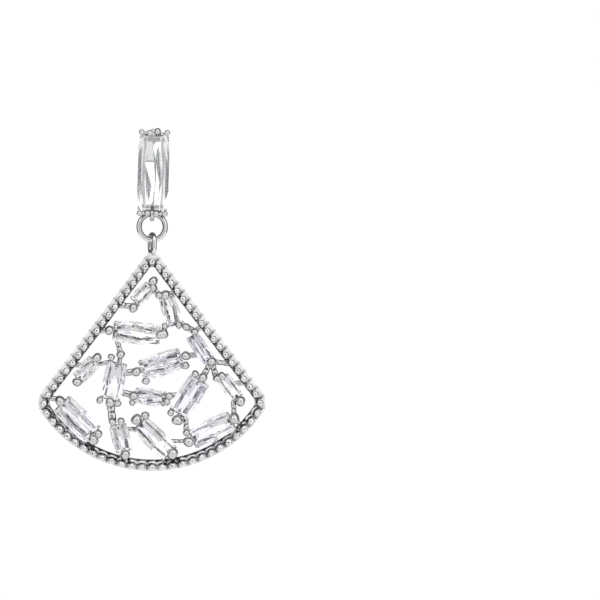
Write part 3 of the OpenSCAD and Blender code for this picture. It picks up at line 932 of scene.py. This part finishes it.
    # each bar between two seats: a point on one stone, a point on another, and its width
    between: tuple[tuple[float, ...], ...] = (
        (1, 1.02, -0.45, 2, -1.2, -0.8, 0.7), (2, 1.3, 1.2, 4, -1.1, 0.65, 0.7),
        (2, 0.86, -1.12, 3, 1.16, 0.15, 0.6), (3, -0.8, -0.8, 7, 1.42, -0.15, 0.6),
        (4, 0.3, -0.7, 5, 1.2, 0.08, 0.6), (4, 1.12, 0.2, 9, 1.14, -0.1, 0.7),
        (4, 1.12, 0.2, 10, -1.15, -0.75, 0.7), (5, -1.22, 0.02, 7, 0.5, -0.8, 0.75),
        (6, 0.9, -0.7, 7, 0.95, 0.7, 0.5), (7, -0.5, -0.8, 8, -1.06, -0.1, 0.75),
        (7, -1.12, -0.05, 12, -1.25, -0.45, 0.9), (8, 1.22, 0.45, 9, -0.2, 0.8, 0.6),
        (9, -0.9, -0.7, 14, -1.08, 0.75, 0.6), (10, 0.95, -0.6, 14, 1.12, 0.05, 0.6),
        (12, -0.5, 0.7, 13, -0.9, -0.6, 0.5), (13, 0.6, 0.8, 14, -1.16, -0.05, 0.45))
    # each bar to the rim: a point on a stone, the share of the way along the rim, and its width
    ties: tuple[tuple[float, ...], ...] = (
        (1, -1.3, -0.4, -0.185, 0.7), (2, -1.1, -0.1, 0.134, 0.6), (3, -1.16, 0, -0.289, 0.7),
        (4, -1.1, 0.65, 0.27, 0.6), (4, 1.12, 0.2, 0.426, 0.6), (6, 0, 0.7, -0.425, 0.6),
        (10, 0, 0.7, 0.498, 0.6), (11, -1.1, 0.1, -0.558, 0.6), (11, 0.2, -0.7, -0.7, 0.6),
        (12, 1.2, 0.05, -0.885, 0.8), (13, 1.06, 0.15, 0.955, 0.6), (14, 0, -0.7, 0.795, 0.6),
        (14, 1.12, 0.05, 0.68, 0.5))

    @cached_property
    def placed(self) -> Placed:
        """Where the fan's plane stands: its top round the bail's lower end, its weight below the ring."""
        top = self.plan.apex_r - self.plan.apex_r / math.sin(self.plan.half)
        return Placed((self.links.ring_mid[0], -self.links.ring_y + self.weight_h,
                       self.links.bail_span[1] + self.links.bail_sink - top))

    @cached_property
    def stones(self) -> tuple[CutStone, ...]:
        """The cut of each stone."""
        return tuple(CutStone(s.length * self.plan.field_w, s.width * self.plan.field_w,
                              sway=0.3 * u[0], keel=0.12 * u[1],
                              slant=CutStone.slant * (1 + 0.4 * u[2]),
                              slope=CutStone.slope * (1 + 0.08 * u[3]))
                     for u, s in zip(jitter(len(self.seats), self.cut_seed, 4), self.seats))

    @cached_property
    def grain_centres(self) -> np.ndarray:
        """(grains, 2) the middle of each grain."""
        share = np.arange(1 - self.plan.grains, self.plan.grains + 1) / self.plan.grains
        return self.plan.outline(share, self.plan.lowered(share, self.plan.row_in))

    @cached_property
    def middles(self) -> np.ndarray:
        """(stones, 2) the middle of each stone."""
        angles = np.array([s.across for s in self.seats]) * self.plan.half
        reach = np.array([s.down * self.plan.field_reach(a) for s, a in zip(self.seats, angles)])
        return (0, self.plan.field_top) + reach[:, None] * polar(angles - math.pi / 2)

    @cached_property
    def sizes(self) -> np.ndarray:
        """(stones, 2) the length and width of each stone."""
        return np.array([(s.length, s.width) for s in self.stones])

    @cached_property
    def axes(self) -> np.ndarray:
        """(stones, 2, 2) the directions of each stone's length and width."""
        turn = np.radians([s.turn for s in self.seats])
        return np.stack([polar(turn), polar(turn + math.pi / 2)], 1)

    def on_stone(self, number: np.ndarray, shares: np.ndarray) -> np.ndarray:
        """Points given as shares of the half length and half width of stones numbered from 1."""
        k = number.astype(int) - 1
        arm = shares * self.sizes[k] / 2
        return self.middles[k] + (arm[..., None] * self.axes[k]).sum(axis=1)

    def _turned(self, points: np.ndarray) -> np.ndarray:
        """(stones, ..., 3) points of each stone's own plane, turned and moved to the stone's place."""
        lead = (slice(None),) + (None,) * (points.ndim - 2)
        flat = (points[..., :2, None] * self.axes[lead]).sum(axis=-2) + self.middles[lead]
        return np.concatenate([flat, points[..., 2:]], -1)

    def make_rim(self) -> None:
        """The rim: a relief carried round the outline, with a lobe from each grain to the outer edge.

        Outside the row, x from the outline, the height is crest - a (c - x) - b (c - x)^2 - k f(u), where c
        is the row's inset, u the distance along the row to the next grain, and k grows from 0 at the
        outline to 1 where the lobes end. Inside the row it is crest - f(d), with d^2 = u^2 +
        (squash (x - c))^2: steps round each grain. The wall goes on down, across the back and up again.
        """
        plan, (fall, bend) = self.plan, self.lobe_slope
        count = self.rim_steps * plan.grains
        share = (np.arange(-count, count) / count)[:, None]
        row = plan.lowered(share, plan.row_in)
        along = (share * plan.grains - np.round(share * plan.grains)) * plan.stretches[-1] / plan.grains
        outside = row * np.linspace(0, 1, 12)
        lobes = np.clip(outside / (self.lobe_end * row), 0, 1) * self.rounding(np.abs(along))
        band = self.crest - fall * (row - outside) - bend * (row - outside) ** 2 - lobes
        inside = row + (plan.rim_w - LAP - row) * np.linspace(0, 1, 22)[1:]
        apart = np.hypot(along, self.squash * (inside - row))
        wall = rounded([(plan.rim_w, 1, 0), (plan.rim_w, 0, 0.1), (0, 0, 0.1), (0, 1, 0)], 3)[4:12]
        wall = np.broadcast_to(wall, (len(share),) + wall.shape)
        flat = plan.outline(share, np.concatenate([outside, inside, wall[..., 0]], 1))
        height = np.concatenate([band, self.crest - self.rounding(apart), wall[..., 1]], 1)
        shell = Shell.grid(np.concatenate([flat, height[..., None]], -1), along=True)
        # painted shade on the rim's front; none on its wall
        front = self._rim_shade(share, np.abs(along), apart, lobes, outside, inside)
        shell.painted_shade = np.concatenate([front, 0 * wall[..., 1]], 1)
        Part("fan_rim", Finish.BRIGHT, "drop", ("fan_frame",)).make(shell, self.placed)

    def _rim_shade(self, share: np.ndarray, along: np.ndarray, apart: np.ndarray, lobes: np.ndarray,
                   outside: np.ndarray, inside: np.ndarray) -> np.ndarray:
        """How much painted shade the rim's front gets, unevenly along the row.

        Args:
            share: the place along the row.
            along: the distance along the row to the next grain.
            apart: the distance to the next grain, inside the row.
            lobes: how far the band falls between its lobes.
            outside: the insets of the band's points.
            inside: the insets of the points inside the row.

        Returns:
            The painted shade of each point, from 0 to 1: band and notches outside the row, and inside it the
            steps with the gaps between grains, or the edge's shade where that is more. Two rows of random
            numbers, one for each grain and joined evenly, vary them.
        """
        plan = self.plan
        every = np.arange(-plan.grains, plan.grains + 1)
        # two slow uneven waves that vary the painted shade along the row
        tone, shade_play = (np.interp(share * plan.grains, every, u) for u in jitter(len(every), 12, 2).T)
        band = self.band_shade * np.clip(0.3 + outside / self.shade_w, 0, 1) * (1 + 0.25 * tone)
        notches = self.lobe_shade * rising(lobes, 0.08, 0.2) * (1 + 0.7 * shade_play)
        steps = np.interp(apart * (1 + 0.08 * tone), *self.step_shade) * (0.85 + 0.3 * shade_play)
        gaps = (self.gap_shade + 0.3 * shade_play) * rising(along, 0, 0.5) ** 2 * rising(apart, 0.55, 0.1)
        least, more = self.edge_shade
        edge = rising(inside, plan.rim_w - self.shade_w, self.shade_w) * (least + more * plan.facing(share))
        return np.clip(np.concatenate([band + notches, np.maximum(steps + gaps, edge)], 1), 0, 1)

    def rounding(self, distance: np.ndarray) -> np.ndarray:
        """How far the rim falls at a distance from a grain: a round cap, then steps of a slope each."""
        (start, *ends), cap = self.step_ends, self.cap_r
        fall = cap - np.sqrt(cap ** 2 - np.minimum(distance, start) ** 2)
        for first, last, slope in zip((start, *ends), ends, self.step_slopes):
            fall = fall + slope * np.clip(distance - first, 0, last - first)
        return fall

    def make_grains(self) -> None:
        """The round grains at even steps along the row: flat domes, each with a small hollow at its top.

        The dome is (r cos, top - h (1 - sin)) up to the hollow's edge, and random numbers vary each
        grain's radius, its hollow, and which way the hollow lies off its middle.
        """
        plan, centres, sides = self.plan, self.grain_centres, 28
        uneven = jitter(len(centres), 3, 4)
        r = plan.grain_d / 2 * (1.05 + 0.05 * uneven[:, :1])
        hollow = self.hollow_r * (0.75 + 0.45 * uneven[:, 1:2])
        turn = np.linspace(0, 1, 14) * np.arccos(hollow / r)
        top = plan.ledge_t + plan.grain_lift + plan.grain_d / 2
        dome = np.stack([r * np.cos(turn), top - self.dome_h * (1 - np.sin(turn))], -1)
        root = [np.stack([k * r, 0 * r + plan.ledge_t - self.grain_root], -1) for k in (0, 1)]
        pit = [np.stack([s * hollow, dome[:, -1:, 1] - d * hollow], -1) for s, d in ((0.55, 0.6), (0, 0.9))]
        shell = lathe(np.concatenate(root + [dome] + pit, 1), centres, sides)
        points = shell.points.reshape(len(centres), -1, sides, 3)
        apart = np.linalg.norm(points[..., :2] - centres[:, None, None], axis=-1)
        off = self.hollow_off * np.clip(1 - apart / r[..., None], 0, 1)
        points[..., :2] += off[..., None] * uneven[:, None, None, 2:]
        # painted shade at each grain's foot and in the hollow at its top
        shell.painted_shade = np.broadcast_to(np.array(self.grain_shade)[:, None], points.shape[:3])
        Part("fan_grains", Finish.BRIGHT, "drop").make(shell, self.placed)

    def make_galleries(self) -> None:
        """The stones' seats: a frame under each stone, its front bevelled to the stone's pavilion."""
        inset, wall = self.gallery_inset, self.gallery_w
        sections = []
        for stone in self.stones:
            depth = inset + wall * np.array([0, self.bevel, 1])
            front = np.minimum(self.gallery_front, self.girdle_h + stone.under(depth) - self.stone_gap - LAP)
            front = np.maximum(front, self.gallery_back + 0.2)
            sections.append(rounded([
                (0, self.gallery_back, 0.06), (0, front[0], 0.06), (self.bevel * wall, front[1], 0.05),
                (wall, front[2], 0.05), (wall, self.gallery_back, 0.06)], 3))
        points = frames(self.sizes - 2 * inset, np.array(sections), 0.14)
        Part("fan_seats", Finish.CAST_SHADED, "drop").make(
            Shell.grid(self._turned(points), along=True), self.placed)

    def _clear_of_stones(self, points: np.ndarray) -> np.ndarray:
        """Moves points that lie inside a stone, grown by its gap, the shorter way out: up over its crown
        or sideways past its edge."""
        for k, stone in enumerate(self.stones):
            arm = points[..., :2] - self.middles[k]
            local = np.stack([(arm * self.axes[k][0]).sum(-1), (arm * self.axes[k][1]).sum(-1)], -1)
            room = self.sizes[k] / 2 + self.stone_gap - np.abs(local)
            depth = np.maximum(room.min(-1) - self.stone_gap, 0)
            high = self.girdle_h + stone.over(depth) + self.stone_gap
            low = self.girdle_h + stone.under(depth) - self.stone_gap
            z = points[..., 2]
            inside = (room.min(-1) > 0) & (z < high) & (z > low)
            up = inside & (high - z <= room.min(-1))
            points[..., 2] = np.where(up, high, z)
            side = inside & ~up
            step = np.where(np.argmin(room, -1)[..., None] == (0, 1), room * np.sign(local), 0)
            shift = step[..., :1] * self.axes[k][0] + step[..., 1:] * self.axes[k][1]
            points[..., :2] += np.where(side[..., None], shift, 0)
        return points

    def make_prongs(self) -> None:
        """The prongs: a round post with a ball head that reaches over its stone's edge.

        Each head is out of round by two waves round it, and leans a little towards its stone and a little
        at random. It gets painted shade from its middle down, and a little everywhere.
        """
        data, sides = np.array(self.prongs), 32
        centres, stone = self.on_stone(data[:, 0], data[:, 1:3]), data[:, 0].astype(int) - 1
        r = data[:, 3] * self.prong_d / 2
        head = self.girdle_h - self.head_sink + np.array([s.top() for s in self.stones])[stone]
        neck = head - r * math.sin(math.acos(self.post_share))
        post, foot = self.post_share * r, np.full_like(r, self.gallery_back)
        shell = ball_posts(centres, r, head, self.post_share, [
            (0 * r, foot), (post - 0.05, foot), (post, foot + 0.05), (post, 0.5 * (foot + neck))], 16, sides)
        uneven = jitter(len(r), 8, 4)[:, :, None, None]
        lean = self.middles[stone] - centres
        lean = 0.1 * lean / np.linalg.norm(lean, axis=1, keepdims=True) + 0.1 * uneven[:, 2:, 0, 0]
        points = shell.points.reshape(len(r), -1, sides, 3)
        arm = points[..., :2] - centres[:, None, None]
        angle = np.arctan2(arm[..., 1], arm[..., 0])
        wave = 1 + 0.06 * np.cos(2 * angle + 3 * uneven[:, 0]) + 0.04 * np.cos(3 * angle + 3 * uneven[:, 1])
        high = (points[..., 2] - head[:, None, None]) / r[:, None, None]
        points[..., :2] = centres[:, None, None] + arm * wave[..., None]
        points[..., :2] += np.clip(high, 0, 1)[..., None] * (r[:, None] * lean)[:, None, None]
        # painted shade: a little everywhere, and more from the head's middle down
        shell.painted_shade = np.clip(1 - high / 0.75, 0.25, 1)
        shell.points = self._clear_of_stones(shell.points)
        Part("fan_prongs", Finish.BRIGHT, "drop", crease=70).make(shell, self.placed)

    def make_bars(self) -> None:
        """The bars: from each prong to its seat, from seat to seat, and from seat to rim."""
        high = self.gallery_back + self.bar_share * (self.gallery_front - self.gallery_back)
        feet = np.array(self.prongs)
        margin = 2 * self.gallery_inset + self.gallery_w
        k = feet[:, 0].astype(int) - 1
        reach = 1 - margin / self.sizes[k]
        start = self.on_stone(feet[:, 0], feet[:, 1:3])
        end = self.on_stone(feet[:, 0], np.clip(feet[:, 1:3], -reach, reach))
        apart = np.linalg.norm(end - start, axis=1) > 0.05
        shell = bars(start[apart], end[apart], (self.foot_share * feet[:, 3] * self.prong_d)[apart],
                     self.gallery_back + LAP, high)
        pairs = np.array(self.between)
        shell += bars(self.on_stone(pairs[:, 0], pairs[:, 1:3]), self.on_stone(pairs[:, 3], pairs[:, 4:6]),
                      pairs[:, 6] * self.bar_w, self.gallery_back + 2 * LAP, high - LAP, self.waist)
        ties = np.array(self.ties)
        shell += bars(self.on_stone(ties[:, 0], ties[:, 1:3]),
                      self.plan.outline(ties[:, 3], self.plan.lowered(ties[:, 3], self.plan.row_in)),
                      ties[:, 4] * self.bar_w, self.gallery_back + 3 * LAP, high - 2 * LAP, self.waist)
        Part("fan_bars", Finish.CAST_SHADED, "drop").make(shell, self.placed)

    def make_stones(self) -> None:
        """The fourteen stones, each a piece of its own."""
        for k, stone in enumerate(self.stones):
            shell = stone.shell()
            arm = shell.points[:, :2, None] * self.axes[k]
            shell.points = np.concatenate([arm.sum(axis=1) + self.middles[k],
                                           shell.points[:, 2:] + self.girdle_h], 1)
            Part(f"fan_gem_{k + 1}", Finish.STONE, "drop", (f"fan_stone_{k + 1}",), flat=True).make(
                shell, self.placed)

    def make(self) -> None:
        """Builds the whole drop."""
        self.make_rim()
        self.make_grains()
        self.make_galleries()
        self.make_prongs()
        self.make_bars()
        self.links.make_bail()
        self.make_stones()


@dataclass
class Stud:
    """The stud: a tray of two rails on four pillars, its claws and strap, its stone, and the post."""

    links: Links
    length: float = 9.0
    width: float = 3.45
    drop: float = 2.05
    girdle: float = 1.75
    end_inset: float = 0.55
    side_inset: float = 0.32
    wall: float = 0.45
    wall_drop: float = 0.55
    rail_inset: float = 0.12
    rail_drop: float = 0.44
    rail_h: float = 0.35
    pillar_d: float = 0.58
    strap_t: float = 0.45
    claw_d: float = 0.62
    claw_flat: float = 0.7
    head_sink: float = 0.05
    post_d: float = 0.8
    post_l: float = 10.0
    post_share: float = 0.68
    # the size below which a claw is only a grain between its neighbours, and how far each kind reaches back
    small: float = 0.8
    claw_reach: tuple[float, float] = (0.5, 0.72)
    stone_gap: float = 0.03
    # each claw or grain: shares of the half length and half width, and its size
    claws: tuple[tuple[float, float, float], ...] = (
        (1.0, -0.82, 1), (1.0, 0.82, 1), (-1.0, -0.82, 1), (-1.0, 0.82, 1),
        (0.98, -0.3, 1.1), (1.03, 0.2, 1.2), (-0.99, -0.3, 0.95), (-1.0, 0.25, 1.05),
        (0.95, -0.06, 0.65), (0.97, 0.5, 0.6), (1.04, -0.1, 0.75), (0.99, -0.56, 0.6), (-0.97, -0.02, 0.6),
        (-1.0, 0.53, 0.65), (-0.99, -0.58, 0.6))

    @cached_property
    def placed(self) -> Placed:
        """The stud's plane leans about its post."""
        return Placed((0, 0, 0), self.links.lean)

    @cached_property
    def stone(self) -> CutStone:
        """The cut of the long stone."""
        return CutStone(self.length, self.width, sway=0.3, keel=-0.06, slant=0.18, slope=0.78)

    def make_tray(self) -> None:
        """The inner wall at the back, the rail under the stone's edge, the pillars and the strap."""
        size = np.array([[self.width, self.length]])
        rail = self.girdle - self.rail_drop
        top = self.girdle + self.stone.under(np.array([self.rail_inset, self.rail_inset + self.wall]))
        top = np.minimum(rail + self.rail_h, top - self.stone_gap - LAP)
        front = rounded([(0, rail, 0.05), (0, top[0], 0.05), (self.wall, max(top[1], rail + 0.08), 0.03),
                         (self.wall, rail, 0.03)], 3)
        high = self.girdle - self.wall_drop
        back = rounded([(0, 0, 0.08), (0, high, 0.06), (self.wall, high, 0.06), (self.wall, 0, 0.08)], 3)
        inner = size - 2 * np.array([[self.side_inset, self.end_inset]])
        shell = Shell.grid(frames(size - 2 * self.rail_inset, front[None], 0.16), along=True)
        shell += Shell.grid(frames(inner, back[None], 0.2), along=True)
        reach = (inner[0] - self.wall) / 2
        corners = reach * np.array([(1, 1), (1, -1), (-1, 1), (-1, -1)])
        r, end = self.pillar_d / 2, rail + self.rail_h / 2
        profile = np.array([(0, 0), (r - 0.06, 0), (r, 0.06), (r, end), (0, end)])
        shell += lathe(np.repeat(profile[None], 4, 0), corners, 24)
        shell += bars(np.array([[-inner[0, 0] / 2, self.drop]]), np.array([[inner[0, 0] / 2, self.drop]]),
                      np.array([2 * self.post_d]), 0.01, self.strap_t)
        shell.points = shell.points - (0, self.drop, 0)
        Part("stud_tray", Finish.CAST_SHADED, "stud", ("stud_setting",)).make(shell, self.placed)

    def make_claws(self) -> None:
        """The claws and grains at the stud's ends: a post with a ball head, with painted shade from its
        middle down. All but the largest heads are flattened."""
        data = np.array(self.claws)
        centres = data[:, 1::-1] * (self.width / 2, self.length / 2) - (0, self.drop)
        r = data[:, 2] * self.claw_d / 2
        head = self.girdle + self.stone.top() - self.head_sink
        low = head - np.where(data[:, 2] < self.small, *self.claw_reach)
        post = self.post_share * r
        shell = ball_posts(centres, r, head, self.post_share,
                           [(0 * r, low), (post, low), (post, (low + head) / 2)], 13, 28,
                           np.where(r < r.max(), self.claw_flat, 1))
        high = (shell.points[:, 2].reshape(len(r), -1) - head) / r[:, None]
        # painted shade: a little everywhere, and more from the head's middle down
        shell.painted_shade = np.clip(1 - high / 0.5, 0.2, 0.95)
        Part("stud_claws", Finish.BRIGHT, "stud", crease=70).make(shell, self.placed)

    def make_stone(self) -> None:
        """The long stone, its length upright."""
        shell = self.stone.shell()
        x, y, z = shell.points.T
        shell.points = np.stack([-y, x - self.drop, z + self.girdle], -1)
        Part("stud_gem", Finish.LONG_STONE, "stud", ("stud_stone",), flat=True).make(shell, self.placed)

    def make_post(self) -> None:
        """The plain pin behind the stud, with a rounded shoulder and a chamfered tip."""
        r, tip = self.post_d / 2, 0.25 * self.post_d
        profile = np.array([
            (0, LAP), (r - 2 * LAP, LAP), (r, -LAP), (r, -self.post_l + tip),
            (r - 0.04, -self.post_l + tip - 0.07), (r - tip, -self.post_l), (0, -self.post_l)])
        Part("post_pin", Finish.WIRE, "stud", ("ear_post",)).make(
            lathe(profile[None], np.zeros((1, 2)), 48), self.placed)

    def make(self) -> None:
        """Builds the whole stud."""
        self.make_tray()
        self.make_claws()
        self.links.make_loop(self.placed)
        self.make_stone()
        self.make_post()


@dataclass
class Studio:
    """A pale floor, soft light from a bright surround, and the camera."""

    # pixels in a millimetre and across the frame
    scale: float = 9.0
    frame: float = 600.0
    lens: float = 200.0
    sensor: float = 36.0
    aim: tuple[float, float] = (16.24, -16.11)
    plane_y: float = -1.3
    floor_z: float = -78.0
    floor_r: float = 190.0
    backdrop: float = 1.0
    brightness: float = 1.08
    sparkle: float = 1.25
    patches: float = 2.2
    bounces: int = 18
    # brightness of the surround from straight behind the earring, 0, to straight in front of it, 1, as
    # the metal sees it and as it shows through the stones
    surround: tuple[tuple[float, float], ...] = (
        (0.0, 0.9), (0.012, 0.6), (0.06, 0.30), (0.22, 0.25), (0.38, 0.03), (0.45, 0.03), (0.60, 0.12),
        (0.70, 0.70), (0.84, 1.0), (0.984, 0.95), (0.995, 0.15), (1.0, 0.1))
    through: tuple[tuple[float, float], ...] = (
        (0.0, 1.0), (0.24, 0.9), (0.38, 0.55), (0.47, 0.03), (0.53, 0.03), (0.60, 0.60), (0.72, 1.0),
        (0.960, 1.0), (0.985, 0.5), (1.0, 0.4))

    def make_camera(self) -> None:
        """The camera stands straight in front of the earring and looks towards the frame's middle."""
        distance = self.frame / self.scale / 2 / (self.sensor / 2 / self.lens)
        data = bpy.data.cameras.new("camera")
        data.lens, data.sensor_width = self.lens, self.sensor
        data.clip_start, data.clip_end = 0.01, 10.0
        camera = bpy.data.objects.new("camera", data)
        bpy.context.scene.collection.objects.link(camera)
        camera.location = Vector((0, self.plane_y - distance, self.aim[1])) * MM
        target = Vector((self.aim[0], self.plane_y, self.aim[1])) * MM
        camera.rotation_euler = (target - camera.location).to_track_quat("-Z", "Y").to_euler()
        bpy.context.scene.camera = camera

    def make_floor(self) -> None:
        """A pale disc well below the hanging earring: rings of a radius that grows evenly."""
        turn = polar(np.linspace(0, TAU, 96, endpoint=False))
        rings = np.linspace(0, 1, 9)[:, None, None] * self.floor_r * turn
        shell = Shell.grid(np.concatenate([rings, np.full(rings.shape[:2] + (1,), self.floor_z)], -1))
        mesh = bpy.data.meshes.new("floor")
        mesh.from_pydata((shell.points * MM).tolist(), [], shell.faces)
        made, nodes = new_material("floor_pale")
        pale = nodes.mix(nodes.noise(40.0, 2.0), (0.86, 0.86, 0.86), (0.9, 0.9, 0.9))
        nodes.surface({"Base Color": pale, "Roughness": 0.8})
        mesh.materials.append(made)
        floor = bpy.data.objects.new("floor", mesh)
        bpy.context.scene.collection.objects.link(floor)

    def make_light(self) -> None:
        """The surround: a world whose brightness follows how far a direction turns away from the front, -Y.

        Metal sees white panels round a dark spot in front, black sides, and grey behind. Light that has
        gone through a stone sees white with a dark belt at the sides, the floor is lit evenly, and the
        camera itself sees plain white. Slow noise makes the panels uneven.
        """
        world = bpy.data.worlds.new("studio")
        bpy.context.scene.world = world
        world.use_nodes = True
        nodes = Nodes(world.node_tree)
        way = nodes.add("ShaderNodeTexCoord", output="Generated")
        parts = nodes.add("ShaderNodeSeparateXYZ", {}, {0: way}).socket.node.outputs
        side, back, high = (Link(nodes, parts[axis]) for axis in "XYZ")
        front = back * -0.5 + 0.5
        ring, glint = (nodes.ramp([(place, (level,) * 3) for place, level in stops], front)
                       for stops in (self.surround, self.through))
        patches = nodes.add("ShaderNodeTexNoise", {}, {"Vector": way, "Scale": self.patches, "Detail": 2.0})
        level = ring * (high * 0.2 + side * 0.1 + 0.4 + patches) * self.brightness
        through = nodes.add("ShaderNodeLightPath", output="Is Transmission Ray")
        level = through * glint * self.sparkle + (1 - through) * level
        spread = nodes.add("ShaderNodeLightPath", output="Is Diffuse Ray")
        level = spread + (1 - spread) * level
        seen = nodes.add("ShaderNodeLightPath", output="Is Camera Ray")
        level = seen * self.backdrop + (1 - seen) * level
        glow = nodes.add("ShaderNodeBackground", {}, {"Color": (1, 1, 1, 1), "Strength": level})
        nodes.add("ShaderNodeOutputWorld", {}, {"Surface": glow})
        bpy.context.scene.view_settings.view_transform = "Standard"
        bpy.context.scene.cycles.glossy_bounces = self.bounces
        bpy.context.scene.cycles.max_bounces = self.bounces

    def make(self) -> None:
        """Sets up the whole studio."""
        self.make_camera()
        self.make_floor()
        self.make_light()


def main() -> None:
    """Loads the frame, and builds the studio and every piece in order."""
    logging.basicConfig(level=logging.INFO, format="%(name)s: %(message)s")
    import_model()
    Studio().make()
    links = Links()
    Stud(links).make()
    links.make_ring()
    Fan(links).make()


if __name__ == "__main__":
    main()
